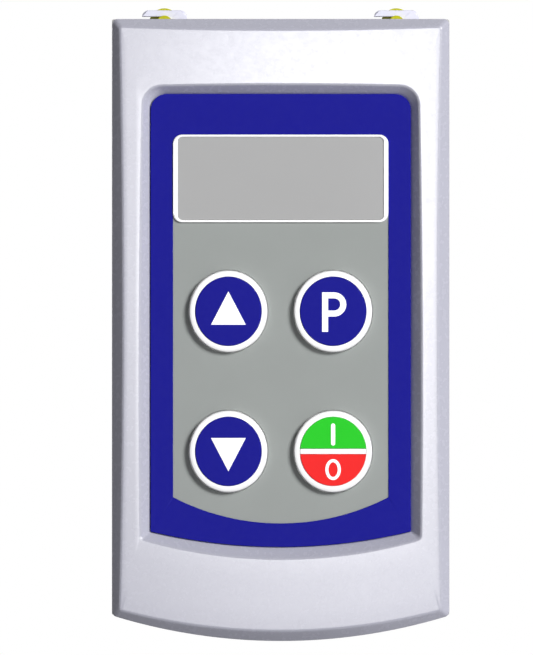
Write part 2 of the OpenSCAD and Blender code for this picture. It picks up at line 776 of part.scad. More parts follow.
// The plate's outline: a field behind the heatsink and four lugs, each slotted towards -X
module plate_outline() difference() {
    union() {
        rounded(heatsink_w, bottom + 3, top - 3, 2);
        for (x = [-1, 1]) translate([x * stud_pitch_x / 2, 0])
            rounded(lug_w, -lug_top, lug_top, lug_corner);
    }
    for (at = STUDS) {
        translate([at[0], at[1]]) circle(slot_w / 2);
        translate([at[0] - lug_w, at[1] - slot_w / 2]) square([lug_w, slot_w]);
    }
    for (at = PLATE_SCREWS) translate(at) circle(m3_hole_r);
    for (x = [-12, 12]) translate([x, 0]) rounded(10, -28, 28, 4);
}
module mounting_plate() color("lavender") slab(plate_back, plate_front) plate_outline();

module mounting_plate_screws() color("silver") for (at = PLATE_SCREWS) {
    rod(at, m3_r, plate_back, plate_front - plate_screw_in + 1);
    difference() {
        rod(at, m3_head_r, plate_back + m3_head_t, plate_back);
        cross_slot(at, plate_back + m3_head_t, 1);
    }
}

// Yellow studs: thread behind, a collar, a neck in the plate's slot and a button in front
module mounting_studs() color("#c8c814") for (at = STUDS) {
    rod(at, stud_r, stud_tail, -eps);
    rod(at, collar_r, 0, plate_back);
    rod(at, neck_r, plate_back + eps, plate_front - eps);
    rod(at, tip_r, plate_front, plate_front - tip_t);
}

module earth_screw() color("#7d9a3a") {
    post([earth_x, earth_y], earth_r, heatsink_bottom - eps, heatsink_bottom + earth_in - 1);
    difference() {
        post([earth_x, earth_y], 3.7, heatsink_bottom - 2.6, heatsink_bottom);
        for (turn = [0, 90]) translate([earth_x, earth_y, heatsink_bottom - 2.6])
            rotate([0, 0, turn]) cube([4, 0.7, 2], center = true);
    }
}

// ---- Fan ----

guard_w = 1.2;
GUARD_RINGS = [4, 8, 12];
module fan_guard() {
    for (r = GUARD_RINGS) difference() {
        post([0, fan_mid], r + guard_w, fan_cover_top - fan_wall, fan_cover_top);
        post([0, fan_mid], r, fan_cover_top - fan_wall - 1, fan_cover_top + 1);
    }
    difference() {
        for (turn = [45, 135]) translate([0, fan_mid, fan_cover_top - fan_wall / 2])
            rotate([0, 0, turn]) cube([2 * fan_bore_r + 1, guard_w, fan_wall], center = true);
        post([0, fan_mid], GUARD_RINGS[0], fan_cover_top - fan_wall - 1, fan_cover_top + 1);
    }
}

clip_w = 4;
clip_l = 4.5;
module fan_cover() color("ghostwhite") {
    difference() {
        block([-fan_half_w, fan_half_w], [fan_front, fan_back],
            [fan_cover_top - fan_cover_h, fan_cover_top]);
        block([fan_wall - fan_half_w, fan_half_w - fan_wall],
            [fan_front + fan_wall, fan_back - fan_wall],
            [fan_cover_top - fan_cover_h - 1, fan_cover_top - fan_wall]);
        post([0, fan_mid], fan_bore_r, fan_cover_top - fan_wall - 1, fan_cover_top + 1);
        for (at = FAN_SCREWS) post(at, fan_screw_r + 0.2, fan_cover_top - fan_wall - 1,
            fan_cover_top + 1);
    }
    fan_guard();
    for (x = [-1.5, 1.5]) translate([x * fin_pitch, 0, 0])
        block([-clip_w / 2, clip_w / 2], [fan_back - fan_wall, fan_back],
            [fan_cover_top - fan_cover_h - clip_l, fan_cover_top - fan_cover_h + eps]);
}

hub_floor = 1.2;
module fan_frame() color("#1d1f22") {
    difference() {
        translate([-fan_size / 2, fan_mid - fan_size / 2, fan_z])
            cube([fan_size, fan_size, fan_t]);
        post([0, fan_mid], fan_bore_r, fan_z - 1, fan_z + fan_t + 1);
        for (at = FAN_SCREWS) post(at, fan_screw_r, fan_z - 1, fan_z + fan_t + 1);
    }
    difference() {
        union() {
            post([0, fan_mid], fan_hub_r, fan_z, fan_z + hub_floor);
            for (turn = [45, 135]) translate([0, fan_mid, fan_z + hub_floor / 2])
                rotate([0, 0, turn]) cube([2 * fan_bore_r + 1, 2, hub_floor], center = true);
        }
        post([0, fan_mid], fan_bearing_r, fan_z - 1, fan_z + fan_t);
    }
}

module fan_bush() color("#b98b3d") difference() {
    post([0, fan_mid], fan_bearing_r, fan_z, fan_z + 6);
    post([0, fan_mid], fan_shaft_r + fan_shaft_fit, fan_z + 0.4, fan_z + 7);
}

module fan_stator() color("#b4602c") difference() {
    post([0, fan_mid], 6, fan_z + hub_floor, fan_z + 6);
    post([0, fan_mid], fan_bearing_r, fan_z, fan_z + 7);
}

blade_pitch = 35;
module fan_rotor() color("#2b2d31") {
    difference() {
        post([0, fan_mid], fan_hub_r, fan_z + hub_floor + move_gap, fan_z + fan_t - 1);
        post([0, fan_mid], fan_hub_r - 1, fan_z, fan_z + fan_t - 2);
    }
    post([0, fan_mid], fan_shaft_r, fan_z + 0.8, fan_z + fan_t - 2 + eps);
    intersection() {
        difference() {
            post([0, fan_mid], fan_bore_r - fan_tip_gap, fan_z + hub_floor + move_gap,
                fan_z + fan_t - 1);
            post([0, fan_mid], fan_hub_r - 0.5, fan_z, fan_z + fan_t);
        }
        for (i = [0 : fan_blades - 1]) translate([0, fan_mid, fan_z + fan_t / 2])
            rotate([0, 0, i * 360 / fan_blades]) rotate([blade_pitch, 0, 0])
                translate([0, -0.5, -fan_t]) cube([fan_size, 1, 2 * fan_t]);
    }
}

module fan_magnet() color("#4a4d52") difference() {
    post([0, fan_mid], fan_hub_r - 1, fan_z + hub_floor + 1, fan_z + fan_t - 2);
    post([0, fan_mid], fan_hub_r - 2, fan_z, fan_z + fan_t);
}

module fan_screws() color("silver") for (at = FAN_SCREWS) {
    post(at, fan_screw_r, fan_z + 2, fan_cover_top);
    difference() {
        post(at, 2.5, fan_cover_top, fan_cover_top + 1.5);
        for (turn = [0, 90]) translate([at[0], at[1], fan_cover_top + 1.5])
            rotate([0, 0, turn]) cube([2.6, 0.6, 1.6], center = true);
    }
}

// The fan's plug, under the cover's roof, and its socket in a notch of the heatsink's base
module fan_plug() {
    color("ivory") block([fan_link_x - fan_link_w / 2, fan_link_x + fan_link_w / 2],
        [fan_front + fan_wall, fan_link_back], [heatsink_top + 2, fan_cover_top - fan_wall]);
    color("gold") block([fan_link_x - fan_tongue_w / 2, fan_link_x + fan_tongue_w / 2],
        [fan_link_y - fan_tongue_t / 2, fan_link_y + fan_tongue_t / 2],
        [heatsink_top - 5.5, heatsink_top + 2 + eps]);
}

module fan_socket() {
    color("ivory") difference() {
        block([fan_link_x - fan_link_w / 2, fan_link_x + fan_link_w / 2],
            [housing_back, fan_link_back], [heatsink_top - 10, heatsink_top]);
        block([fan_link_x - fan_tongue_w / 2 - move_gap, fan_link_x + fan_tongue_w / 2 + move_gap],
            [fan_link_y - fan_tongue_t / 2 - move_gap, fan_link_y + fan_tongue_t / 2 + move_gap],
            [heatsink_top - 6, heatsink_top + 1]);
    }
    color("silver") for (x = [-0.6, 0.6]) slab(housing_back + eps, power_board_back)
        translate([fan_link_x + x, heatsink_top - 5]) square(0.6, center = true);
}

front_cover();
keypad_overlay();
keypad_inlay();
display_frame();
display_window();
display_module();
up_key_cap();
up_key_face();
up_key_plunger();
down_key_cap();
down_key_face();
down_key_plunger();
program_key_cap();
program_key_face();
program_key_plunger();
run_stop_key_cap();
run_face();
stop_face();
run_stop_key_plunger();
keypad_board();
tact_switches();
keypad_board_screws();
keypad_socket();
housing();
housing_screws();
control_board();
control_chips();
control_board_screws();
keypad_header();
board_standoffs();
interboard_connector();
power_board();
bus_capacitors();
line_choke();
inrush_relay();
supply_transformer();
power_module();
power_terminal_block();
power_terminal_clamps();
power_terminal_screws();
control_header();
control_plug();
control_plug_screws();
heatsink();
mounting_plate();
mounting_plate_screws();
mounting_studs();
earth_screw();
fan_cover();
fan_frame();
fan_bush();
fan_stator();
fan_rotor();
fan_magnet();
fan_screws();
fan_plug();
fan_socket();
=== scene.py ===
"""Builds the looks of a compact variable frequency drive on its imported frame.

Every piece takes its place from the frame's nodes. Lengths in the settings are in metres.
"""

import math
import random

import bmesh
import bpy
from bpy.props import FloatProperty, FloatVectorProperty, IntProperty, PointerProperty
from mathutils import Matrix, Vector


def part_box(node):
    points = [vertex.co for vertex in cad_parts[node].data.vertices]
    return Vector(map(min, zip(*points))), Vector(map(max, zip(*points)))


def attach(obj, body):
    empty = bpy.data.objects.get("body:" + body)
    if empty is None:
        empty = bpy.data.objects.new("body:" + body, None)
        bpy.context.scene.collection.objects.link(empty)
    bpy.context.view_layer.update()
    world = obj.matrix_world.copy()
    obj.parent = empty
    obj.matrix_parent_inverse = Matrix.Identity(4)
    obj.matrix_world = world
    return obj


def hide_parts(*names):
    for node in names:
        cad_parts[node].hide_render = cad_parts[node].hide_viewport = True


bl_info = {
    "name": "Variable frequency drive",
    "version": (1, 0, 0),
    "blender": (4, 5, 0),
    "location": "3D View > Sidebar > Drive",
    "description": "Builds the shells, keypad, hardware and boards of a small motor drive",
    "category": "Object",
}

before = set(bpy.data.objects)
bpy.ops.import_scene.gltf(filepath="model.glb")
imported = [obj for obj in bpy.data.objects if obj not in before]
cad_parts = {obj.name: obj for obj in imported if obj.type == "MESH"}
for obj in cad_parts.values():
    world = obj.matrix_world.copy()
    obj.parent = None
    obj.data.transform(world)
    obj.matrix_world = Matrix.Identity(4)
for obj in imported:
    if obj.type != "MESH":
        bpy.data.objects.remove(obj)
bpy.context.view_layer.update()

MM = 0.001
TURN = 2 * math.pi
RIGHT, UP, FRONT, BACK = Vector((1, 0, 0)), Vector((0, 0, 1)), Vector((0, -1, 0)), Vector((0, 1, 0))


# ---- Sizes that the frame gives ----

def span(node):
    """Lowest and highest corner of a node at rest."""
    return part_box(node)


def middle(node):
    """Middle of a node's box."""
    low, high = span(node)
    return (low + high) / 2


COVER_LOW, COVER_HIGH = span("front_cover")
HOUSING_LOW = span("housing")[0]
PANEL_LOW, PANEL_HIGH = span("keypad_overlay")
INLAY_LOW, INLAY_HIGH = span("keypad_inlay")
SEAM = 0.2 * MM
COVER_BACK = HOUSING_LOW.y - SEAM
KEYS = ("up", "program", "down", "run_stop")
KEY_HOLE, INLAY_HOLE = 8.5 * MM, 8.15 * MM
FILM_GAP = 0.03 * MM
BOSS_R, BOSS_HOLE_R, BOSS_EDGE = 2.6 * MM, 1.1 * MM, 0.2 * MM
BOSS_INSET = 2.2 * MM
TONGUE_AT, TONGUE_HALF, TONGUE_IN = 30 * MM, 5 * MM, 6 * MM
COLLAR_R, BUTTON_R, NECK_R, THREAD_R = 3.15 * MM, 1.62 * MM, 1.3 * MM, 1.5 * MM


# ---- Settings ----

def length(name, description, default, low=0.0, high=0.2):
    """A length in metres."""
    return FloatProperty(name=name, description=description, default=default, min=low, max=high,
                         subtype="DISTANCE", unit="LENGTH", precision=5)


def colour(name, description, default):
    """A linear colour."""
    return FloatVectorProperty(name=name, description=description, default=default, min=0.0,
                               max=1.0, size=3, subtype="COLOR")


class DriveShellSettings(bpy.types.PropertyGroup):
    """Form and finish of the front cover, the housing and the fan cover."""

    draft: length("Draft", "How much narrower the cover is at the front, on each side",
                  0.2 * MM)
    chin_radius: length("Chin radius", "Radius of the arc along the bottom of the cover",
                        114.7 * MM)
    side_crown: length("Side crown", "How far the face falls back at its sides", 0.6 * MM)
    end_crown: length("End crown", "How far the face falls back at its top and bottom", 0.7 * MM)
    chamfer: length("Chamfer", "Depth of the chamfer, from the middle of the face", 2.76 * MM)
    corner: length("Corner radius", "Radius of the cover's corners, seen from the front",
                   1.15 * MM)
    edge: length("Edge radius", "Rounding between the face, its chamfer and the pocket",
                 0.36 * MM)
    pocket_slope: FloatProperty(name="Pocket slope", default=0.86, min=0.2, max=3.0,
                                description="How much the pocket widens for its depth")
    pocket_lean: FloatProperty(name="Pocket lean", default=2.4, min=0.0, max=10.0,
                               description="How much less it widens for each metre upwards")
    panel_radius: length("Panel radius", "Radius of the arc along the bottom of the panel",
                         112 * MM)
    panel_corner: length("Panel corner", "Radius of the panel's upper corners", 3.2 * MM)
    wall: length("Wall", "Wall of the cover", 2.2 * MM)
    cover_colour: colour("Cover", "Plastic of the front cover", (0.485, 0.485, 0.565))
    housing_colour: colour("Housing", "Plastic of the housing", (0.50, 0.50, 0.49))


class DriveKeypadSettings(bpy.types.PropertyGroup):
    """Form and finish of the panel, the display and the keys."""

    inlay_radius: length("Inlay radius", "Radius of the arc along the bottom of the inlay",
                         47 * MM)
    frame_corner: length("Frame corner", "Radius of the display frame's corners", 1.8 * MM)
    window_corner: length("Window corner", "Radius of the display window's corners", 1.0 * MM)
    key_ring: length("Key ring", "Width of the white ring round a key's face", 1.2 * MM)
    key_tall: FloatProperty(name="Key height", default=1.024, min=0.9, max=1.1,
                            description="A key's height against its nominal size")
    key_wide: FloatProperty(name="Key width", default=0.982, min=0.9, max=1.1,
                            description="A key's width against its nominal size")
    key_edge: length("Key edge", "Rounding of the keys' edges", 0.3 * MM)
    mark_proud: length("Mark height", "How far a key's symbol stands out", 0.05 * MM)
    blue: colour("Blue", "Panel and key faces", (0.003, 0.003, 0.287))
    grey: colour("Grey", "Inlay", (0.352, 0.373, 0.361))
    window_grey: colour("Window grey", "Display window", (0.445, 0.445, 0.445))
    white: colour("White", "Rings, symbols and display frame", (0.95, 0.95, 0.95))
    green: colour("Green", "Run half", (0.022, 0.67, 0.022))
    red: colour("Red", "Stop half", (1.0, 0.022, 0.022))


class DriveMetalSettings(bpy.types.PropertyGroup):
    """Form and finish of the heatsink, the plate, the studs and the fan."""

    soften: length("Softening", "Rounding of straight edges on castings and mouldings",
                   0.3 * MM)
    thread_pitch: length("Thread pitch", "Pitch of the studs' M3 thread", 0.5 * MM)
    blades: IntProperty(name="Blades", description="Blades of the fan", default=7, min=3, max=11)
    yellow: colour("Yellow", "Passivated studs", (0.62, 0.61, 0.004))
    coating: colour("Coating", "Powder coat of the mounting plate", (0.80, 0.80, 0.96))


class DriveStageSettings(bpy.types.PropertyGroup):
    """Camera, lights and floor."""

    lens: FloatProperty(name="Focal length", description="Focal length in millimetres",
                        default=1300.0, min=50.0, max=1400.0)
    distance: length("Distance", "From the camera to the cover's rim", 4.768, 0.1, 20.0)
    aside: length("Aside", "Camera's place to the right of the middle", -2.85 * MM, -1.0, 1.0)
    above: length("Above", "Camera's place above the middle", -2.1 * MM, -1.0, 1.0)
    light_distance: length("Light distance", "From the front of the cover to the lights", 2.2,
                           0.3, 10.0)
    floor_gap: length("Floor gap", "From the drive's lowest point to the floor", 10 * MM)


SETTINGS = {"drive_shell": DriveShellSettings, "drive_keypad": DriveKeypadSettings,
            "drive_metal": DriveMetalSettings, "drive_stage": DriveStageSettings}


# ---- Outlines in X and Z ----

SIDE_STEPS, TURN_STEPS, ARC_STEPS = 10, 8, 16


def arc(centre, radius, start, end, steps):
    """Points on an arc, both ends included; angles in radians from +X towards +Z."""
    return [(centre[0] + radius * math.cos(start + (end - start) * i / steps),
             centre[1] + radius * math.sin(start + (end - start) * i / steps))
            for i in range(steps + 1)]


def straight(start, end, steps):
    """Points on a straight line, both ends included."""
    return [(start[0] + (end[0] - start[0]) * i / steps,
             start[1] + (end[1] - start[1]) * i / steps) for i in range(steps + 1)]


def arched(half_w, top, low, arc_r, top_r, low_r):
    """An upright outline whose lower edge is an arc of radius arc_r down to low.

    It runs from the middle of the top, over the right side, and has the same number of
    points whatever its sizes, so that two such outlines can be joined point to point."""
    centre_z = low + arc_r
    turn_x = half_w - low_r
    turn_z = centre_z - math.sqrt((arc_r - low_r) ** 2 - turn_x ** 2)
    end = math.atan2(turn_z - centre_z, turn_x)
    right = (straight((0, top), (half_w - top_r, top), ARC_STEPS)
             + arc((half_w - top_r, top - top_r), top_r, math.pi / 2, 0, TURN_STEPS)[1:]
             + straight((half_w, top - top_r), (half_w, turn_z), SIDE_STEPS)[1:]
             + arc((turn_x, turn_z), low_r, 0, end, TURN_STEPS)[1:]
             + arc((0, centre_z), arc_r, end, -math.pi / 2, ARC_STEPS)[1:])
    return right + [(-x, z) for x, z in reversed(right[1:-1])]


def rounded(half_w, low, high, radius, centre_x=0.0, steps=6):
    """A rectangle with rounded corners."""
    corners = ((1, high, 0), (-1, high, 1), (-1, low, 2), (1, low, 3))
    return [point for side, z, quarter in corners
            for point in arc((centre_x + side * (half_w - radius),
                              z + (-radius if z == high else radius)), radius,
                             quarter * math.pi / 2, (quarter + 1) * math.pi / 2, steps)]


def circle(centre, radius, steps=64):
    """A circle."""
    return arc(centre, radius, 0, TURN * (steps - 1) / steps, steps - 1)


def between(first, second, share):
    """The outline that lies a share of the way from one outline to another."""
    return [(a[0] + (b[0] - a[0]) * share, a[1] + (b[1] - a[1]) * share)
            for a, b in zip(first, second)]


# ---- Mesh work ----

def ring(bm, points):
    """A closed ring of new edges through the points."""
    verts = [bm.verts.new(p) for p in points]
    return verts, [bm.edges.new(pair) for pair in zip(verts, verts[1:] + verts[:1])]


def loft(bm, rings):
    """Walls from ring to ring, each extruded from the one before. Returns each ring's edges."""
    verts, edges = ring(bm, rings[0])
    loops = [edges]
    for points in rings[1:]:
        made = set(bmesh.ops.extrude_edge_only(bm, edges=edges)["geom"])
        twins = [next(e.other_vert(v) for e in v.link_edges if e.other_vert(v) in made)
                 for v in verts]
        for twin, point in zip(twins, points):
            twin.co = point
        verts = twins
        edges = [bm.edges.get(pair) for pair in zip(verts, verts[1:] + verts[:1])]
        loops.append(edges)
    return loops


def fill(bm, *loops):
    """Flat faces inside the first ring of edges and outside the others."""
    edges = [e for loop in loops for e in loop]
    return [g for g in bmesh.ops.triangle_fill(bm, use_beauty=True, edges=edges)["geom"]
            if isinstance(g, bmesh.types.BMFace)]


def bevel(bm, edges, width, segments=3, clamp=False):
    """Rounds edges."""
    bmesh.ops.bevel(bm, geom=list(edges), offset=width, offset_type="OFFSET", affect="EDGES",
                    segments=segments, profile=0.5, material=-1, clamp_overlap=clamp)


def plate(bm, outline, back, front, soften=0.0, holes=()):
    """A flat plate between two depths, with holes right through it."""
    before = set(bm.verts)
    loops = [ring(bm, [(x, back, z) for x, z in line])[1] for line in (outline, *holes)]
    if holes:
        faces = fill(bm, *loops)
    else:
        faces = bmesh.ops.contextual_create(bm, geom=loops[0])["faces"]
    grown = bmesh.ops.extrude_face_region(bm, geom=faces)["geom"]
    moved = [g for g in grown if isinstance(g, bmesh.types.BMVert)]
    bmesh.ops.translate(bm, verts=moved, vec=(0, front - back, 0))
    new = [v for v in bm.verts if v not in before]
    if soften:
        rim = {e for v in moved for e in v.link_edges
               if all(x in moved for x in e.verts) and e.calc_face_angle(0) > 1}
        bevel(bm, rim, soften, 2)
    return new


def box(bm, low, high, soften=0.0):
    """A box between two corners."""
    low, high = Vector(low), Vector(high)
    size = high - low
    place = Matrix.Translation((low + high) / 2) @ Matrix.Diagonal((*size, 1))
    made = bmesh.ops.create_cube(bm, size=1, matrix=place)["verts"]
    if soften:
        bevel(bm, {e for v in made for e in v.link_edges}, soften, 2)


def lathe(bm, profile, centre, axis=FRONT, steps=64):
    """A turned shape. The profile's points are (radius, distance along the axis)."""
    axis = Vector(axis).normalized()
    out = axis.orthogonal().normalized()
    verts = [bm.verts.new(Vector(centre) + out * r + axis * d) for r, d in profile]
    edges = [bm.edges.new(pair) for pair in zip(verts, verts[1:])]
    if (Vector(profile[0]) - Vector(profile[-1])).length > 1e-7 and profile[-1][0] > 0:
        edges.append(bm.edges.new((verts[-1], verts[0])))
    bmesh.ops.spin(bm, geom=verts + edges, cent=centre, axis=axis, angle=TURN, steps=steps,
                   use_merge=True)


def rounded_corner(r, d, radius, turn_in, steps=4):
    """Profile points that round an outer corner at (r, d). turn_in is +1 where the profile
    comes up the side and turns in towards the axis, and -1 where it goes out and turns down."""
    points = arc((r - radius, d - radius), radius, 0, math.pi / 2, steps)
    return points if turn_in > 0 else points[::-1]


def add_piece(name, bm, material, body, nodes=(), smooth=35, tidy=True):
    """Makes a mesh into a piece that rides on a body and may stand for CAD nodes."""
    bmesh.ops.remove_doubles(bm, verts=bm.verts, dist=1e-7)
    if tidy:
        bmesh.ops.recalc_face_normals(bm, faces=bm.faces)
    mesh = bpy.data.meshes.new(name)
    bm.to_mesh(mesh)
    bm.free()
    mesh.shade_smooth()
    mesh.set_sharp_from_angle(angle=math.radians(smooth))
    piece = bpy.data.objects.new(name, mesh)
    bpy.context.scene.collection.objects.link(piece)
    mesh.materials.append(material)
    shading = piece.modifiers.new("weighted", "WEIGHTED_NORMAL")
    shading.keep_sharp = True
    shading.weight = 100
    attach(piece, body)
    if nodes:
        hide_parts(*nodes)
    return piece


def softened(bm, node, width, sharp=40, shortest=3.0):
    """A merged copy of a node whose long straight edges are rounded."""
    copy = bmesh.new()
    copy.from_mesh(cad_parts[node].data)
    bmesh.ops.remove_doubles(copy, verts=copy.verts, dist=1e-6)
    bmesh.ops.dissolve_limit(copy, angle_limit=math.radians(0.5), verts=copy.verts,
                             edges=copy.edges)
    bmesh.ops.triangulate(copy, faces=copy.faces)
    edges = [e for e in copy.edges if len(e.link_faces) == 2
             and e.calc_face_angle(0) > math.radians(sharp)
             and e.calc_length() > shortest * width]
    if width:
        bevel(copy, edges, width, 2)
    mesh = bpy.data.meshes.new("softened")
    copy.to_mesh(mesh)
    copy.free()
    bm.from_mesh(mesh)
    bpy.data.meshes.remove(mesh)


def paint(nodes, material):
    """Gives CAD nodes a material."""
    for node in nodes:
        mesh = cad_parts[node].data
        mesh.materials.clear()
        mesh.materials.append(material)


# ---- Materials ----

class Finish:
    """A material under construction: a shader with noise patterns on Object coordinates."""

    def __init__(self, name, base, roughness, metallic=0.0, specular=0.5):
        self.material = bpy.data.materials.new(name)
        self.material.use_nodes = True
        self.tree = self.material.node_tree
        self.shader = self.tree.nodes["Principled BSDF"]
        self.base = base
        self.shader.inputs["Base Color"].default_value = (*base, 1)
        self.shader.inputs["Roughness"].default_value = roughness
        self.shader.inputs["Metallic"].default_value = metallic
        self.shader.inputs["Specular IOR Level"].default_value = specular
        self.place = self.tree.nodes.new("ShaderNodeTexCoord").outputs["Object"]
        self.bump = None
        self.material.diffuse_color = (*base, 1)

    def link(self, output, target):
        """Joins an output to an input."""
        self.tree.links.new(output, target)

    def stretched(self, scale):
        """Object coordinates, scaled differently along each axis."""
        node = self.tree.nodes.new("ShaderNodeMapping")
        node.inputs["Scale"].default_value = scale
        self.link(self.place, node.inputs["Vector"])
        return node.outputs["Vector"]

    def noise(self, scale, detail=2.0, place=None):
        """A noise pattern whose scale is in repeats per metre."""
        node = self.tree.nodes.new("ShaderNodeTexNoise")
        node.inputs["Scale"].default_value = scale
        node.inputs["Detail"].default_value = detail
        self.link(place or self.place, node.inputs["Vector"])
        return node.outputs["Fac"]

    def cells(self, scale, place):
        """The distance to the edges of cells whose scale is in repeats per metre."""
        node = self.tree.nodes.new("ShaderNodeTexVoronoi")
        node.feature = "DISTANCE_TO_EDGE"
        node.inputs["Scale"].default_value = scale
        self.link(place, node.inputs["Vector"])
        return node.outputs["Distance"]

    def range(self, value, low, high, start=0.3, end=0.7):
        """A pattern mapped from start..end to low..high."""
        node = self.tree.nodes.new("ShaderNodeMapRange")
        for socket, number in zip(("From Min", "From Max", "To Min", "To Max"),
                                  (start, end, low, high)):
            node.inputs[socket].default_value = number
        self.link(value, node.inputs["Value"])
        return node.outputs["Result"]

    def mottle(self, share, amount, other=None):
        """Varies the base colour by an amount, towards darker or another colour."""
        node = self.tree.nodes.new("ShaderNodeMix")
        node.data_type = "RGBA"
        node.inputs["A"].default_value = (*self.base, 1)
        second = other or tuple(c * (1 - amount) for c in self.base)
        node.inputs["B"].default_value = (*second, 1)
        self.link(share, node.inputs["Factor"])
        self.link(node.outputs["Result"], self.shader.inputs["Base Color"])
        return self

    def roughen(self, value, low, high):
        """Varies the roughness."""
        self.link(self.range(value, low, high), self.shader.inputs["Roughness"])
        return self

    def relief(self, value, height):
        """Adds a bump of that height in metres."""
        node = self.tree.nodes.new("ShaderNodeBump")
        node.inputs["Strength"].default_value = 1.0
        node.inputs["Distance"].default_value = height
        self.link(value, node.inputs["Height"])
        if self.bump:
            self.link(self.bump, node.inputs["Normal"])
        self.bump = node.outputs["Normal"]
        self.link(self.bump, self.shader.inputs["Normal"])
        return self


def moulded(name, base, roughness, grain, specular=0.5, cloud=0.03):
    """Moulded plastic with a fine eroded texture.

    grain is the texture's height in mm and cloud how much the colour varies."""
    finish = Finish(name, base, roughness, specular=specular)
    finish.mottle(finish.range(finish.noise(60, 3), 0, 1), cloud)
    finish.roughen(finish.noise(900, 3), roughness - 0.012, roughness + 0.012)
    finish.relief(finish.noise(3800, 2), grain * MM)
    return finish.material


def printed(name, base, roughness=0.6, specular=0.12):
    """Printed polyester film: even colour, a faint matt stipple."""
    finish = Finish(name, base, roughness, specular=specular)
    finish.mottle(finish.range(finish.noise(140, 2), 0, 1), 0.02)
    finish.roughen(finish.noise(1500, 2), roughness - 0.03, roughness + 0.04)
    finish.relief(finish.noise(5200, 1), 0.0025 * MM)
    return finish.material


def rolled_metal(name, base, roughness=0.32, direction=(1, 1, 0.05), metallic=1.0,
                 specular=0.5):
    """Plated or rolled metal, with its grain drawn out along the direction's small axis."""
    finish = Finish(name, base, roughness, metallic, specular)
    lines = finish.noise(5000, 3, finish.stretched(direction))
    finish.mottle(finish.range(finish.noise(300, 3), 0, 1), 0.12)
    finish.roughen(lines, roughness - 0.08, roughness + 0.1)
    finish.relief(lines, 0.002 * MM)
    return finish.material


def cast_metal(name, base, roughness=0.45):
    """Die cast aluminium: a soft grain and slight clouding."""
    finish = Finish(name, base, roughness, 1.0)
    finish.mottle(finish.range(finish.noise(180, 4), 0, 1), 0.18)
    finish.roughen(finish.noise(700, 3), roughness - 0.08, roughness + 0.12)
    finish.relief(finish.noise(2200, 3), 0.01 * MM)
    return finish.material


def painted_metal(name, base, roughness=0.4):
    """Powder coat: an even colour with a slight orange peel."""
    finish = Finish(name, base, roughness)
    finish.mottle(finish.range(finish.noise(90, 2), 0, 1), 0.03)
    finish.relief(finish.noise(1400, 1), 0.008 * MM)
    return finish.material


def circuit(name):
    """Solder resist with the copper tracks showing through it."""
    finish = Finish(name, (0.012, 0.13, 0.045), 0.3)
    tracks = finish.cells(420, finish.stretched((1, 0.001, 1)))
    finish.mottle(finish.range(tracks, 1, 0, 0.05, 0.09), 0, (0.03, 0.24, 0.09))
    finish.relief(finish.range(tracks, 1, 0, 0.05, 0.12), 0.02 * MM)
    finish.roughen(finish.noise(500, 2), 0.26, 0.36)
    return finish.material


def glazed(name, base):
    """An anti-glare window."""
    finish = Finish(name, base, 0.55, specular=0.12)
    finish.mottle(finish.range(finish.noise(40, 1), 0, 1), 0.015)
    finish.roughen(finish.noise(220, 2), 0.52, 0.58)
    return finish.material


def make_materials(scene):
    """All finishes by name."""
    shell, keypad, metal = scene.drive_shell, scene.drive_keypad, scene.drive_metal
    return {
        "cover": moulded("cover_plastic", tuple(shell.cover_colour), 0.27, 0.0005, 0.55,
                         0.012),
        "housing": moulded("housing_plastic", tuple(shell.housing_colour), 0.48, 0.012),
        "coating": painted_metal("plate_coating", tuple(metal.coating)),
        "blue": printed("panel_blue", tuple(keypad.blue)),
        "grey": printed("inlay_grey", tuple(keypad.grey)),
        "window": glazed("display_window", tuple(keypad.window_grey)),
        "white": moulded("white_plastic", tuple(keypad.white), 0.26, 0.0007),
        "key_blue": printed("key_blue", tuple(keypad.blue)),
        "key_green": printed("key_green", tuple(keypad.green)),
        "key_red": printed("key_red", tuple(keypad.red)),
        "mark": printed("symbol_white", tuple(keypad.white), 0.26, 0.5),
        "dark": moulded("dark_plastic", (0.02, 0.02, 0.022), 0.42, 0.008),
        "ivory": moulded("ivory_plastic", (0.72, 0.68, 0.55), 0.4, 0.004),
        "green": moulded("terminal_green", (0.03, 0.22, 0.06), 0.38, 0.004),
        "board": circuit("circuit_board"),
        "steel": rolled_metal("plated_steel", (0.62, 0.63, 0.65), 0.28),
        "brass": rolled_metal("brass", (0.72, 0.52, 0.2), 0.26, (0.05, 1, 1)),
        "solder": rolled_metal("solder", (0.7, 0.7, 0.68), 0.3, (1, 1, 1)),
        "yellow": rolled_metal("yellow_passivate", tuple(metal.yellow), 0.5, (0.3, 1, 0.3),
                               0.0, 0.15),
        "aluminium": cast_metal("die_cast", (0.62, 0.63, 0.65)),
        "copper": rolled_metal("copper_wire", (0.75, 0.25, 0.09), 0.28, (1, 1, 1)),
        "sleeve": printed("capacitor_sleeve", (0.02, 0.035, 0.12), 0.25, 0.5),
        "tape": printed("polyester_tape", (0.75, 0.55, 0.12), 0.25, 0.5),
    }


def finish_of(name):
    """The material of that name, made at the first call."""
    if not MATERIALS:
        MATERIALS.update(make_materials(bpy.context.scene))
    return MATERIALS[name]


MATERIALS = {}


# ---- Front cover ----

FACE_HALF_W, FACE_HALF_H = 32 * MM, 60 * MM


def face_depth(x, z):
    """Depth of the crowned face at a place. It stands furthest forward in the middle."""
    shell = bpy.context.scene.drive_shell
    return (COVER_LOW.y + shell.side_crown * (x / FACE_HALF_W) ** 2
            + shell.end_crown * (z / FACE_HALF_H) ** 2)


def stepped(near, far, reach, width):
    """The outline that lies width(x, z) away from near, towards far, which lies reach away."""
    line = near
    for _ in range(4):
        line = [(a[0] + (b[0] - a[0]) * width(x, z) / reach,
                 a[1] + (b[1] - a[1]) * width(x, z) / reach)
                for a, b, (x, z) in zip(near, far, line)]
    return line


def at_depth(line, depth):
    """An outline at one depth, or at depth(x, z)."""
    return [(x, depth(x, z) if callable(depth) else depth, z) for x, z in line]


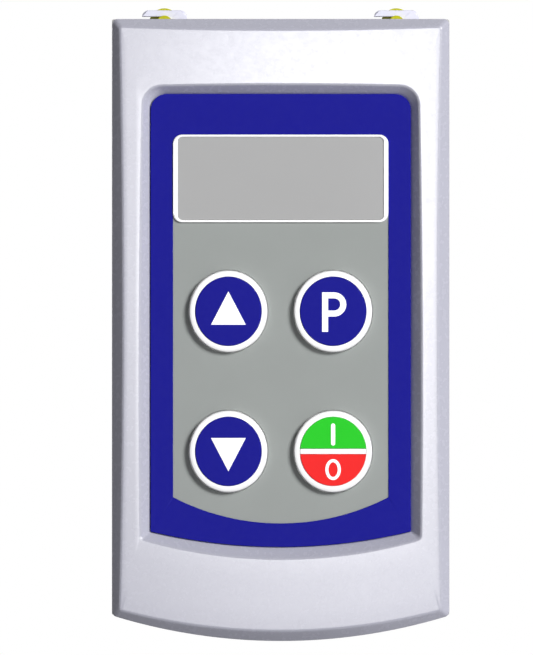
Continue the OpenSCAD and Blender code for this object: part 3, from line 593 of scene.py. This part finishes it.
class DRIVE_OT_front_cover(bpy.types.Operator):
    """Moulds the front cover: drafted sides, chamfers, a crowned face and a sunken pocket"""

    bl_idname = "drive.front_cover"
    bl_label = "Front cover"

    def execute(self, context):
        shell = context.scene.drive_shell
        half_w, top, chin = COVER_HIGH.x, COVER_HIGH.z, COVER_LOW.z
        floor = PANEL_HIGH.y
        reach = 3 * MM
        outer = arched(half_w, top, chin, shell.chin_radius, shell.corner, shell.corner)
        inner = arched(half_w - reach, top - reach, chin + reach, shell.chin_radius - reach,
                       0.35 * MM, 0.35 * MM)
        pocket = arched(PANEL_HIGH.x, PANEL_HIGH.z, PANEL_LOW.z, shell.panel_radius,
                        shell.panel_corner, 0.2 * MM)
        mouth = arched(PANEL_HIGH.x + reach, PANEL_HIGH.z + reach, PANEL_LOW.z - reach,
                       shell.panel_radius + reach, shell.panel_corner + 1 * MM, 1.4 * MM)
        chamfer_front = stepped(outer, inner, reach, lambda x, z: shell.draft + shell.chamfer
                                + COVER_LOW.y - face_depth(x, z))
        rim = stepped(pocket, mouth, reach,
                      lambda x, z: (shell.pocket_slope - shell.pocket_lean * z)
                      * (floor - face_depth(x, z)))
        bm = bmesh.new()
        rings = [at_depth(outer, COVER_BACK),
                 at_depth(between(outer, inner, shell.draft / reach),
                          COVER_LOW.y + shell.chamfer),
                 at_depth(chamfer_front, face_depth)]
        rings += [at_depth(between(chamfer_front, rim, share), face_depth)
                  for share in (0.3, 0.5, 0.7)]
        rings += [at_depth(rim, face_depth), at_depth(pocket, floor)]
        loops = loft(bm, rings)
        key_holes = [circle(centre, KEY_HOLE) for centre in key_centres().values()]
        low, high = span("display_module")
        window = rounded(high.x - 2 * MM, low.z + 1.5 * MM, high.z - 1.5 * MM, 0.5 * MM)
        holes = [*key_holes, window]
        front_holes = [ring(bm, at_depth(hole, floor))[1] for hole in holes]
        fill(bm, loops[-1], *front_holes)
        inside = arched(half_w - shell.wall, top - shell.wall, HOUSING_LOW.z + shell.wall,
                        50.0, 0.6 * MM, 0.6 * MM)
        hollow = arched(half_w - shell.wall, top - shell.wall, chin + shell.wall,
                        shell.chin_radius - shell.wall, 0.6 * MM, 0.6 * MM)
        inner_loops = loft(bm, [at_depth(outer, COVER_BACK), at_depth(inside, COVER_BACK),
                                at_depth(inside, COVER_BACK - shell.wall),
                                at_depth(hollow, COVER_BACK - shell.wall),
                                at_depth(hollow, floor + shell.wall)])
        back_holes = [ring(bm, at_depth(hole, floor + shell.wall))[1] for hole in holes]
        fill(bm, inner_loops[-1], *back_holes)
        for front, back in zip(front_holes, back_holes):
            bmesh.ops.bridge_loops(bm, edges=front + back)
        bevel(bm, loops[1], 0.12 * MM, 2)
        bevel(bm, loops[2], shell.edge)
        bevel(bm, loops[6], shell.edge)
        self.add_bosses(bm, floor + shell.wall)
        add_piece("front_cover_shell", bm, finish_of("cover"), "cover",
                  ["front_cover"], 25)
        return {"FINISHED"}

    def add_bosses(self, bm, floor_back):
        """Screw bosses behind the pocket floor and tongues that enter the housing."""
        low, high = span("keypad_board_screws")
        board = span("keypad_board")[0].y
        tall = board - floor_back + 0.1 * MM
        profile = [(BOSS_HOLE_R, 0), (BOSS_R - BOSS_EDGE, 0), (BOSS_R, BOSS_EDGE),
                   (BOSS_R, tall), (BOSS_HOLE_R, tall), (BOSS_HOLE_R, 0)]
        for x in (low.x + BOSS_INSET, high.x - BOSS_INSET):
            for z in (low.z + BOSS_INSET, high.z - BOSS_INSET):
                lathe(bm, profile, (x, board, z), FRONT, 32)
        wall = COVER_HIGH.x - bpy.context.scene.drive_shell.wall
        for side in (-1, 1):
            for z in (-TONGUE_AT, TONGUE_AT):
                edges = sorted((side * (wall - 0.3 * MM), side * (wall - 1.5 * MM)))
                box(bm, (edges[0], COVER_BACK - TONGUE_IN, z - TONGUE_HALF),
                    (edges[1], COVER_HIGH.y, z + TONGUE_HALF), 0.3 * MM)


# ---- Keypad ----

class DRIVE_OT_keypad_panel(bpy.types.Operator):
    """Lays the blue panel and the grey inlay in the pocket"""

    bl_idname = "drive.keypad_panel"
    bl_label = "Keypad panel"

    def execute(self, context):
        shell, keypad = context.scene.drive_shell, context.scene.drive_keypad
        frame_low, frame_high = span("display_frame")
        inlay_top = (frame_low.z + frame_high.z) / 2
        panel = arched(PANEL_HIGH.x, PANEL_HIGH.z, PANEL_LOW.z, shell.panel_radius,
                       shell.panel_corner, 0.15 * MM)
        opening = arched(INLAY_HIGH.x, frame_high.z, INLAY_LOW.z, keypad.inlay_radius,
                         keypad.frame_corner, 0.3 * MM)
        bm = bmesh.new()
        loops = loft(bm, [at_depth(panel, PANEL_HIGH.y), at_depth(panel, PANEL_LOW.y),
                          at_depth(opening, PANEL_LOW.y), at_depth(opening, PANEL_HIGH.y),
                          at_depth(panel, PANEL_HIGH.y)])
        bevel(bm, loops[1] + loops[2], 0.08 * MM, 2)
        add_piece("panel_film", bm, finish_of("blue"), "cover",
                  ["keypad_overlay"])
        field = arched(INLAY_HIGH.x - FILM_GAP, inlay_top, INLAY_LOW.z + FILM_GAP,
                       keypad.inlay_radius - FILM_GAP, 0.3 * MM, 0.3 * MM)
        holes = [oval(centre, INLAY_HOLE * keypad.key_wide, INLAY_HOLE * keypad.key_tall, 96)
                 for centre in key_centres().values()]
        bm = bmesh.new()
        plate(bm, field, INLAY_HIGH.y, INLAY_LOW.y, 0, holes)
        add_piece("inlay_film", bm, finish_of("grey"), "cover",
                  ["keypad_inlay"])
        return {"FINISHED"}


def key_centres():
    """Each key's centre in X and Z."""
    return {key: (middle(key + "_key_cap").x, middle(key + "_key_cap").z) for key in KEYS}


class DRIVE_OT_display(bpy.types.Operator):
    """Makes the display's white frame and its window"""

    bl_idname = "drive.display"
    bl_label = "Display"

    def execute(self, context):
        keypad = context.scene.drive_keypad
        low, high = span("display_frame")
        inner_low, inner_high = span("display_window")
        outside = rounded(high.x, low.z, high.z, keypad.frame_corner)
        inside = rounded(inner_high.x, inner_low.z, inner_high.z, keypad.window_corner)
        bm = bmesh.new()
        loops = loft(bm, [at_depth(outside, high.y), at_depth(outside, low.y),
                          at_depth(inside, low.y), at_depth(inside, high.y),
                          at_depth(outside, high.y)])
        bevel(bm, loops[1] + loops[2], 0.1 * MM, 2)
        add_piece("display_bezel", bm, finish_of("white"), "cover",
                  ["display_frame"])
        bm = bmesh.new()
        pane = rounded(inner_high.x - FILM_GAP, inner_low.z + FILM_GAP,
                       inner_high.z - FILM_GAP, keypad.window_corner)
        plate(bm, pane, inner_high.y, inner_low.y, 0.06 * MM)
        add_piece("display_pane", bm, finish_of("window"), "cover",
                  ["display_window"])
        return {"FINISHED"}


def arrow(centre, way):
    """A triangle that points up (way 1) or down (way -1)."""
    x, z = centre
    half_w, base, tip = way * 3.5 * MM, way * 2.7 * MM, way * 4 * MM
    return [(x - half_w, z - base), (x + half_w, z - base), (x, z + tip)]


def letter(centre):
    """The program key's letter as an outline and the hole of its bowl."""
    x, z = centre
    stroke, left, right = 1.2 * MM, -2.2 * MM, 2.65 * MM
    low, high, waist = -4.1 * MM, 3.8 * MM, -1.05 * MM
    bowl = (high - waist) / 2
    outer = [(left, high), (left, low), (left + stroke, low), (left + stroke, waist)]
    outer += arc((right - bowl, high - bowl), bowl, -math.pi / 2, math.pi / 2, 16)
    hole = [(left + stroke, high - stroke), (left + stroke, waist + stroke)]
    hole += arc((right - bowl, high - bowl), bowl - stroke, -math.pi / 2, math.pi / 2, 12)
    return [[(x + a, z + b) for a, b in line] for line in (outer, hole)]


def oval(centre, half_w, half_h, steps=40):
    """An ellipse."""
    return [(centre[0] + half_w * a, centre[1] + half_h * b)
            for a, b in circle((0, 0), 1, steps)]


def squeeze(bm, centre):
    """Brings a key from a circle to the slightly upright oval that the keys have."""
    keypad = bpy.context.scene.drive_keypad
    bmesh.ops.scale(bm, verts=bm.verts, vec=(keypad.key_wide, 1, keypad.key_tall),
                    space=Matrix.Translation((-centre[0], 0, -centre[1])))


class DRIVE_OT_keys(bpy.types.Operator):
    """Turns the four keys: a white cap, a coloured face and raised symbols"""

    bl_idname = "drive.keys"
    bl_label = "Keys"

    def execute(self, context):
        for key, centre in key_centres().items():
            self.cap(key, centre)
            self.plunger(key, centre)
        for key in ("up", "program", "down"):
            self.round_face(key)
        self.half_faces()
        self.marks()
        return {"FINISHED"}

    def cap(self, key, centre):
        """A hollow cap with a flange behind the pocket floor."""
        keypad = bpy.context.scene.drive_keypad
        low, high = span(key + "_key_cap")
        front = span("up_key_cap")[0].y
        depth = high.y - front
        flange = (high.x - low.x) / 2
        radius = flange - 1 * MM
        edge = keypad.key_edge
        face = radius - keypad.key_ring
        well = depth - 0.6 * MM
        profile = [(0, well), (face, well), (face, depth - 0.08 * MM),
                   (face + 0.08 * MM, depth)]
        profile += rounded_corner(radius, depth, edge, -1)
        profile += [(radius, 0.8 * MM), (flange, 0.8 * MM), (flange, 0),
                    (radius - 1.2 * MM, 0), (radius - 1.2 * MM, depth - 2 * MM),
                    (2.5 * MM, depth - 2 * MM), (2.5 * MM, 0), (0, 0)]
        bm = bmesh.new()
        lathe(bm, profile, (centre[0], high.y, centre[1]), FRONT, 96)
        if key == "run_stop":
            bar = 0.5 * MM
            box(bm, (centre[0] - face + 0.1 * MM, front + 0.5 * MM, centre[1] - bar),
                (centre[0] + face - 0.1 * MM, front - 0.2 * MM, centre[1] + bar), 0.08 * MM)
        squeeze(bm, centre)
        add_piece(key + "_cap", bm, finish_of("white"), key + "_key",
                  [key + "_key_cap"])

    def plunger(self, key, centre):
        """The switch's plunger, with a rounded tip."""
        low, high = span(key + "_key_plunger")
        radius = (high.x - low.x) / 2
        bm = bmesh.new()
        lathe(bm, [(0, 0), (radius - 0.2 * MM, 0), (radius, 0.2 * MM),
                   (radius, high.y - low.y), (0, high.y - low.y)],
              (centre[0], high.y, centre[1]), FRONT, 32)
        add_piece(key + "_plunger", bm, finish_of("dark"), key + "_key",
                  [key + "_key_plunger"])

    def round_face(self, key):
        """A coloured disc with a softly rounded edge."""
        low, high = span(key + "_key_face")
        at = middle(key + "_key_face")
        radius, depth = (high.x - low.x) / 2 - FILM_GAP, high.y - low.y
        bm = bmesh.new()
        profile = [(0, 0), (radius, 0), *rounded_corner(radius, depth, 0.12 * MM, 1), (0, depth)]
        lathe(bm, profile, (at.x, high.y, at.z), FRONT, 96)
        squeeze(bm, (at.x, at.z))
        add_piece(key + "_face", bm, finish_of("key_blue"), key + "_key",
                  [key + "_key_face"])

    def half_faces(self):
        """The green and red halves of the run and stop key."""
        centre = key_centres()["run_stop"]
        for node, way, finish in (("run_face", 1, "key_green"), ("stop_face", -1, "key_red")):
            low, high = span(node)
            radius, gap = (high.x - low.x) / 2 - FILM_GAP, 0.55 * MM
            start = math.asin(gap / radius)
            line = arc(centre, radius, start, math.pi - start, 48)
            if way < 0:
                line = [(x, 2 * centre[1] - z) for x, z in line]
            bm = bmesh.new()
            plate(bm, line, high.y, low.y, 0.1 * MM)
            squeeze(bm, centre)
            add_piece(node + "_insert", bm, finish_of(finish), "run_stop_key", [node])

    def marks(self):
        """White symbols that stand slightly out of the faces."""
        proud = bpy.context.scene.drive_keypad.mark_proud
        front = span("up_key_face")[0].y
        at = key_centres()
        x, z = at["run_stop"]
        stroke = 0.62 * MM
        bar_top, bar_low, bar_r = z + 5.2 * MM, z + 1.6 * MM, 0.42 * MM
        bar = (arc((x, bar_top), bar_r, 0, math.pi, 10)
               + arc((x, bar_low), bar_r, math.pi, TURN, 10))
        zero, zero_w, zero_h = (x, z - 3.64 * MM), 1.55 * MM, 2.1 * MM
        outlines = {
            "up_mark": ("up_key", [arrow(at["up"], 1)]),
            "down_mark": ("down_key", [arrow(at["down"], -1)]),
            "program_mark": ("program_key", letter(at["program"])),
            "run_mark": ("run_stop_key", [bar]),
            "stop_mark": ("run_stop_key", [oval(zero, zero_w, zero_h),
                                           oval(zero, zero_w - stroke, zero_h - stroke)]),
        }
        for name, (body, (line, *holes)) in outlines.items():
            bm = bmesh.new()
            plate(bm, line, front + 0.3 * MM, front - proud, 0.0 if holes else 0.02 * MM, holes)
            add_piece(name, bm, finish_of("mark"), body)


# ---- Housing, heatsink, plate ----

class DRIVE_OT_housing(bpy.types.Operator):
    """Rounds the edges of the housing and the fan cover"""

    bl_idname = "drive.housing"
    bl_label = "Housing"

    def execute(self, context):
        width = context.scene.drive_metal.soften
        for node, body in (("housing", "drive"), ("fan_cover", "fan_unit")):
            bm = bmesh.new()
            softened(bm, node, width)
            add_piece(node + "_shell", bm, finish_of("housing"), body,
                      [node], tidy=False)
        return {"FINISHED"}


class DRIVE_OT_heatsink(bpy.types.Operator):
    """Finishes the finned heatsink and the slotted mounting plate"""

    bl_idname = "drive.heatsink"
    bl_label = "Heatsink and plate"

    def execute(self, context):
        bm = bmesh.new()
        softened(bm, "heatsink", 0.25 * MM)
        add_piece("heatsink_casting", bm, finish_of("aluminium"), "drive",
                  ["heatsink"], tidy=False)
        bm = bmesh.new()
        softened(bm, "mounting_plate", 0.15 * MM)
        add_piece("mounting_plate_steel", bm, finish_of("coating"), "drive",
                  ["mounting_plate"], tidy=False)
        return {"FINISHED"}


class DRIVE_OT_studs(bpy.types.Operator):
    """Turns the four yellow studs, with a real thread"""

    bl_idname = "drive.studs"
    bl_label = "Mounting studs"

    def execute(self, context):
        low, high = span("mounting_studs")
        plate_low, plate_high = span("mounting_plate")
        bm = bmesh.new()
        for x in (low.x + COLLAR_R, high.x - COLLAR_R):
            for z in (low.z + COLLAR_R, high.z - COLLAR_R):
                self.stud(bm, x, z, low.y, plate_low.y, plate_high.y, high.y)
        add_piece("threaded_studs", bm, finish_of("yellow"), "drive",
                  ["mounting_studs"], 40)
        return {"FINISHED"}

    def stud(self, bm, x, z, tip, plate_front, plate_back, end):
        """One stud from its front button to the end of its thread."""
        edge = 0.08 * MM
        profile = [(0, 0), (BUTTON_R - edge, 0), (BUTTON_R, edge),
                   (BUTTON_R, plate_front - tip), (NECK_R, plate_front - tip),
                   (NECK_R, plate_back - tip), (COLLAR_R - edge, plate_back - tip),
                   (COLLAR_R, plate_back - tip + edge), (COLLAR_R, -tip - edge),
                   (COLLAR_R - edge, -tip), (1.2 * MM, -tip), (0, -tip)]
        lathe(bm, profile, (x, tip, z), BACK, 48)
        self.thread(bm, Vector((x, 0, z)), THREAD_R, end)

    def thread(self, bm, start, radius, end):
        """A helical ridge over a core, made by sweeping a saw-tooth profile."""
        pitch = bpy.context.scene.drive_metal.thread_pitch
        root = radius - 0.3 * MM
        count = int(end / pitch) - 1
        profile = [(root, 0)]
        for tooth in range(count):
            base = tooth * pitch
            profile += [(radius, base + pitch * 0.45), (radius, base + pitch * 0.55),
                        (root, base + pitch)]
        steps = 32
        verts = [bm.verts.new(start + RIGHT * r + BACK * (d - 0.1 * MM)) for r, d in profile]
        edges = [bm.edges.new(pair) for pair in zip(verts, verts[1:])]
        bmesh.ops.spin(bm, geom=verts + edges, cent=start, axis=BACK, angle=TURN, steps=steps,
                       dvec=BACK * (pitch / steps), use_merge=False)
        lathe(bm, [(0, 0), (root, 0), (root, end - 0.4 * MM), (root - 0.4 * MM, end), (0, end)],
              start, BACK, steps)


# ---- Fan ----

class DRIVE_OT_fan(bpy.types.Operator):
    """Builds the fan's impeller with curved blades and finishes its frame, bush and stator"""

    bl_idname = "drive.fan"
    bl_label = "Fan"

    def execute(self, context):
        bm = bmesh.new()
        softened(bm, "fan_frame", 0.25 * MM)
        add_piece("fan_housing", bm, finish_of("dark"), "fan_unit",
                  ["fan_frame"], tidy=False)
        self.impeller(context.scene.drive_metal.blades)
        self.stator()
        paint(["fan_bush"], finish_of("brass"))
        paint(["fan_magnet"], finish_of("dark"))
        return {"FINISHED"}

    def impeller(self, blades):
        """A cup with a rounded rim, a shaft, and blades bent from flat grids."""
        low, high = span("fan_rotor")
        magnet = span("fan_magnet")
        centre = Vector((0, (magnet[0].y + magnet[1].y) / 2, 0))
        cup = (magnet[1].x - magnet[0].x) / 2 + 1 * MM
        reach = (high.x - low.x) / 2
        top, edge, skin, shaft = high.z, 0.8 * MM, 1 * MM, 1 * MM
        rim = low.z + 0.75 * MM
        bm = bmesh.new()
        profile = [(cup - skin, rim), (cup, rim)]
        profile += rounded_corner(cup, top, edge, 1)
        profile += [(0, top), (0, low.z), (shaft, low.z), (shaft, top - skin),
                    (cup - skin, top - skin), (cup - skin, rim)]
        lathe(bm, profile, centre, UP, 64)
        for i in range(blades):
            self.blade(bm, centre, cup - 0.4 * MM, reach - 0.15 * MM, low.z + 1.1 * MM,
                       top - 0.4 * MM, i * TURN / blades)
        add_piece("fan_impeller_moulding", bm, finish_of("dark"), "fan_impeller",
                  ["fan_rotor"])

    def blade(self, bm, centre, root, tip, low, high, turn):
        """One blade: a grid bent along its chord and twisted along its length."""
        part = bmesh.new()
        made = bmesh.ops.create_grid(part, x_segments=6, y_segments=8, size=0.5)["verts"]
        for vert in made:
            along, across = vert.co.x + 0.5, vert.co.y
            radius = root + (tip - root) * along
            sweep = across * (0.78 - 0.18 * along)
            camber = 0.1 * (1 - 4 * across ** 2)
            height = (low + high) / 2 + across * (high - low)
            angle = turn + sweep + camber
            vert.co = centre + Vector((radius * math.cos(angle), radius * math.sin(angle),
                                       height))
        bmesh.ops.recalc_face_normals(part, faces=part.faces)
        bmesh.ops.solidify(part, geom=part.faces, thickness=0.7 * MM)
        mesh = bpy.data.meshes.new("blade")
        part.to_mesh(mesh)
        part.free()
        bm.from_mesh(mesh)
        bpy.data.meshes.remove(mesh)

    def stator(self):
        """The wound stator: a core with copper coils round it."""
        low, high = span("fan_stator")
        centre = (low + high) / 2
        radius = (high.x - low.x) / 2
        bm = bmesh.new()
        poles, tall = 8, high.z - low.z
        for pole in range(poles):
            turn = Matrix.Rotation(pole * TURN / poles, 4, "Z")
            out = Matrix.Translation((radius * 0.66, 0, 0))
            size = Matrix.Diagonal((radius * 0.6, 2.2 * MM, tall * 0.9, 1))
            place = Matrix.Translation(centre) @ turn @ out @ size
            made = bmesh.ops.create_cube(bm, size=1, matrix=place)["verts"]
            bevel(bm, {e for v in made for e in v.link_edges}, 0.4 * MM, 3)
        bore, core = 2.02 * MM, 3.2 * MM
        lathe(bm, [(bore, 0), (core, 0), (core, tall), (bore, tall), (bore, 0)],
              (centre.x, centre.y, low.z), UP, 32)
        add_piece("fan_windings", bm, finish_of("copper"), "fan_unit",
                  ["fan_stator"])


# ---- Boards and what stands on them ----

# Half width and half height of the chip sizes, the chips' height, half the width of their
# soldered ends, and their distance from a board's edge and from other parts
CHIP_SIZES = ((1 * MM, 0.6 * MM), (0.6 * MM, 1 * MM), (1.6 * MM, 0.8 * MM))
CHIP_TALL, JOINT_HALF = 0.7 * MM, 0.3 * MM
CHIP_MARGIN, CHIP_REACH = 4 * MM, 2 * MM


class DRIVE_OT_boards(bpy.types.Operator):
    """Populates the circuit boards and finishes the parts on them"""

    bl_idname = "drive.boards"
    bl_label = "Boards"

    def execute(self, context):
        paint(["keypad_board", "control_board", "power_board"], finish_of("board"))
        paint(["display_module", "keypad_socket", "keypad_header", "control_chips",
               "interboard_connector", "power_module"], finish_of("dark"))
        paint(["tact_switches"], finish_of("steel"))
        paint(["board_standoffs"], finish_of("brass"))
        paint(["inrush_relay", "fan_plug", "fan_socket"], finish_of("ivory"))
        paint(["supply_transformer"], finish_of("tape"))
        paint(["line_choke"], finish_of("copper"))
        self.capacitors()
        self.small_parts("control_board", "drive", -1, 90, 5)
        self.small_parts("keypad_board", "cover", 1, 46, 8)
        return {"FINISHED"}

    def capacitors(self):
        """Sleeved cans with a rolled groove and a scored top."""
        low, high = span("bus_capacitors")
        radius = (high.z - low.z) / 2
        bm = bmesh.new()
        tall = high.y - low.y
        for x in (low.x + radius, high.x - radius):
            profile = [(0, 0), (radius - 0.6 * MM, 0), (radius, 0.6 * MM), (radius, 2.2 * MM),
                       (radius - 0.7 * MM, 3 * MM), (radius, 3.8 * MM)]
            profile += rounded_corner(radius, tall, 1 * MM, 1)
            profile += [(radius - 2 * MM, tall), (radius - 2.2 * MM, tall - 0.4 * MM),
                        (0, tall - 0.4 * MM)]
            lathe(bm, profile, (x, high.y, middle("bus_capacitors").z), FRONT, 48)
        add_piece("capacitor_cans", bm, finish_of("sleeve"), "drive",
                  ["bus_capacitors"])

    def footprints(self, board, face, way):
        """Left, right, bottom and top of every face that rests on a board or is near it."""
        near, far = sorted((face - way * 0.1 * MM, face + way * 1.5 * MM))
        boxes = []
        for name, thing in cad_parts.items():
            low, high = span(name)
            if name == board or low.y > far or high.y < near:
                continue
            points = [vert.co for vert in thing.data.vertices]
            for polygon in thing.data.polygons:
                x, y, z = zip(*(points[index] for index in polygon.vertices))
                if min(y) < far and max(y) > near:
                    boxes.append((min(x), max(x), min(z), max(z)))
        return boxes

    def small_parts(self, node, body, way, count, seed):
        """Chip resistors and capacitors, scattered clear of the larger parts."""
        rng = random.Random(seed)
        low, high = span(node)
        face = low.y if way < 0 else high.y
        near, far = sorted((face, face + way * CHIP_TALL))
        taken = self.footprints(node, face, way)
        parts, ends = bmesh.new(), bmesh.new()
        for _ in range(count):
            x = round(rng.uniform(low.x + CHIP_MARGIN, high.x - CHIP_MARGIN) / MM) * MM
            z = round(rng.uniform(low.z + CHIP_MARGIN, high.z - CHIP_MARGIN) / MM) * MM
            half_w, half_h = rng.choice(CHIP_SIZES)
            if any(left - CHIP_REACH < x < right + CHIP_REACH
                   and base - CHIP_REACH < z < top + CHIP_REACH
                   for left, right, base, top in taken):
                continue
            taken.append((x, x, z, z))
            box(parts, (x - half_w * 0.7, near, z - half_h * 0.7),
                (x + half_w * 0.7, far, z + half_h * 0.7), 0.05 * MM)
            for side in (-0.85, 0.85):
                dx, dz = (side * half_w, 0) if half_w >= half_h else (0, side * half_h)
                box(ends, (x + dx - JOINT_HALF, near, z + dz - JOINT_HALF),
                    (x + dx + JOINT_HALF, far, z + dz + JOINT_HALF))
        if not parts.faces:
            raise RuntimeError("no room for small parts on " + node)
        add_piece(node + "_chips", parts, finish_of("dark"), body, tidy=False)
        add_piece(node + "_solder", ends, finish_of("solder"), body, tidy=False)


class DRIVE_OT_terminals(bpy.types.Operator):
    """Finishes the power terminals and the control plug"""

    bl_idname = "drive.terminals"
    bl_label = "Terminals"

    def execute(self, context):
        for node, body, finish, slot in (
                ("power_terminal_block", "drive", "dark", "dark_plastic"),
                ("control_plug", "wiring_plug", "green", "terminal_green")):
            bm = bmesh.new()
            softened(bm, node, 0.2 * MM)
            add_piece(node + "_moulding", bm, finish_of(finish), body, [node],
                      tidy=False)
        paint(["control_header"], finish_of("green"))
        paint(["power_terminal_clamps", "power_terminal_screws", "control_plug_screws"],
              finish_of("steel"))
        return {"FINISHED"}


class DRIVE_OT_fasteners(bpy.types.Operator):
    """Finishes the screws"""

    bl_idname = "drive.fasteners"
    bl_label = "Fasteners"

    def execute(self, context):
        paint(["keypad_board_screws", "housing_screws", "control_board_screws",
               "mounting_plate_screws", "fan_screws"], finish_of("steel"))
        paint(["earth_screw"], finish_of("brass"))
        return {"FINISHED"}


# ---- Stage ----

# Azimuth from the front towards the right and elevation, in degrees, diameter, power and
# whether it lights matt surfaces or only shows as a sheen
LIGHTS = {
    "sheen": (2.5, 2.2, 0.47, 22.0, False),
    "key": (39, 20, 0.8, 52.0, True),
    "top": (180, 68, 1.2, 7.0, True),
    "back_right": (140, 30, 0.8, 22.0, True),
    "back_left": (-150, 12, 0.8, 16.0, True),
}


class DRIVE_OT_stage(bpy.types.Operator):
    """Sets the camera, the soft lights, the grey floor and a white surround"""

    bl_idname = "drive.stage"
    bl_label = "Stage"

    def execute(self, context):
        stage = context.scene.drive_stage
        data = bpy.data.cameras.new("camera")
        data.lens, data.sensor_width = stage.lens, 36.0
        data.clip_end = 100.0
        camera = bpy.data.objects.new("camera", data)
        camera.location = (stage.aside, HOUSING_LOW.y - stage.distance, stage.above)
        camera.rotation_euler = (math.pi / 2, 0, 0)
        context.scene.collection.objects.link(camera)
        context.scene.camera = camera
        aim = Vector((0, COVER_LOW.y, 0))
        for name, (azimuth, elevation, size, power, matt) in LIGHTS.items():
            tilt = Matrix.Rotation(math.radians(azimuth), 4, "Z") @ Matrix.Rotation(
                math.radians(-elevation), 4, "X")
            place = aim + tilt @ Vector((0, -stage.light_distance, 0))
            lamp = bpy.data.lights.new(name, "AREA")
            lamp.shape, lamp.size, lamp.energy = "DISK", size, power
            light = bpy.data.objects.new(name, lamp)
            light.location = place
            light.rotation_euler = (aim - place).to_track_quat("-Z", "Y").to_euler()
            light.visible_diffuse = matt
            context.scene.collection.objects.link(light)
        self.floor(stage.floor_gap)
        self.surround(context.scene)
        context.scene.view_settings.view_transform = "Standard"
        return {"FINISHED"}

    def floor(self, gap):
        """A plain grey floor that ends a little behind the drive."""
        half_w, front, back = 2.5, -4.5, 0.4
        bm = bmesh.new()
        made = bmesh.ops.create_grid(bm, x_segments=1, y_segments=1, size=1)["verts"]
        for vert in made:
            vert.co = (vert.co.x * half_w, back if vert.co.y > 0 else front,
                       COVER_LOW.z - gap)
        mesh = bpy.data.meshes.new("floor")
        bm.to_mesh(mesh)
        bm.free()
        floor = bpy.data.objects.new("floor", mesh)
        bpy.context.scene.collection.objects.link(floor)
        finish = Finish("floor_paper", (0.44, 0.44, 0.45), 0.8)
        finish.mottle(finish.range(finish.noise(9, 3), 0, 1), 0.02)
        finish.relief(finish.noise(700, 3), 0.05 * MM)
        mesh.materials.append(finish.material)

    def surround(self, scene):
        """A white surround that lights the drive only a little."""
        world = bpy.data.worlds.new("surround")
        world.use_nodes = True
        tree = world.node_tree
        dim = tree.nodes["Background"]
        dim.inputs["Color"].default_value = (1, 1, 1, 1)
        dim.inputs["Strength"].default_value = 0.02
        bright = tree.nodes.new("ShaderNodeBackground")
        bright.inputs["Color"].default_value = (1, 1, 1, 1)
        bright.inputs["Strength"].default_value = 1.0
        mix, path = tree.nodes.new("ShaderNodeMixShader"), tree.nodes.new("ShaderNodeLightPath")
        tree.links.new(path.outputs["Is Camera Ray"], mix.inputs["Fac"])
        tree.links.new(dim.outputs["Background"], mix.inputs[1])
        tree.links.new(bright.outputs["Background"], mix.inputs[2])
        tree.links.new(mix.outputs["Shader"], tree.nodes["World Output"].inputs["Surface"])
        scene.world = world


# ---- Add-on ----

OPERATORS = (DRIVE_OT_front_cover, DRIVE_OT_keypad_panel, DRIVE_OT_display, DRIVE_OT_keys,
             DRIVE_OT_housing, DRIVE_OT_heatsink, DRIVE_OT_studs, DRIVE_OT_fan,
             DRIVE_OT_boards, DRIVE_OT_terminals, DRIVE_OT_fasteners, DRIVE_OT_stage)


class DRIVE_PT_panel(bpy.types.Panel):
    """Lists the settings and the steps that build the drive."""

    bl_idname = "DRIVE_PT_panel"
    bl_label = "Variable frequency drive"
    bl_space_type = "VIEW_3D"
    bl_region_type = "UI"
    bl_category = "Drive"

    def draw(self, context):
        for name, group in SETTINGS.items():
            section = self.layout.box()
            for setting in group.__annotations__:
                section.prop(getattr(context.scene, name), setting)
        for operator in OPERATORS:
            self.layout.operator(operator.bl_idname)


def register():
    for group in (*SETTINGS.values(), *OPERATORS, DRIVE_PT_panel):
        bpy.utils.register_class(group)
    for name, group in SETTINGS.items():
        setattr(bpy.types.Scene, name, PointerProperty(type=group))


def unregister():
    for name in SETTINGS:
        delattr(bpy.types.Scene, name)
    for group in (DRIVE_PT_panel, *reversed(OPERATORS), *reversed(SETTINGS.values())):
        bpy.utils.unregister_class(group)


def main():
    """Registers the add-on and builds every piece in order."""
    register()
    for operator in OPERATORS:
        group, name = operator.bl_idname.split(".")
        getattr(getattr(bpy.ops, group), name)()


if __name__ == "__main__":
    main()
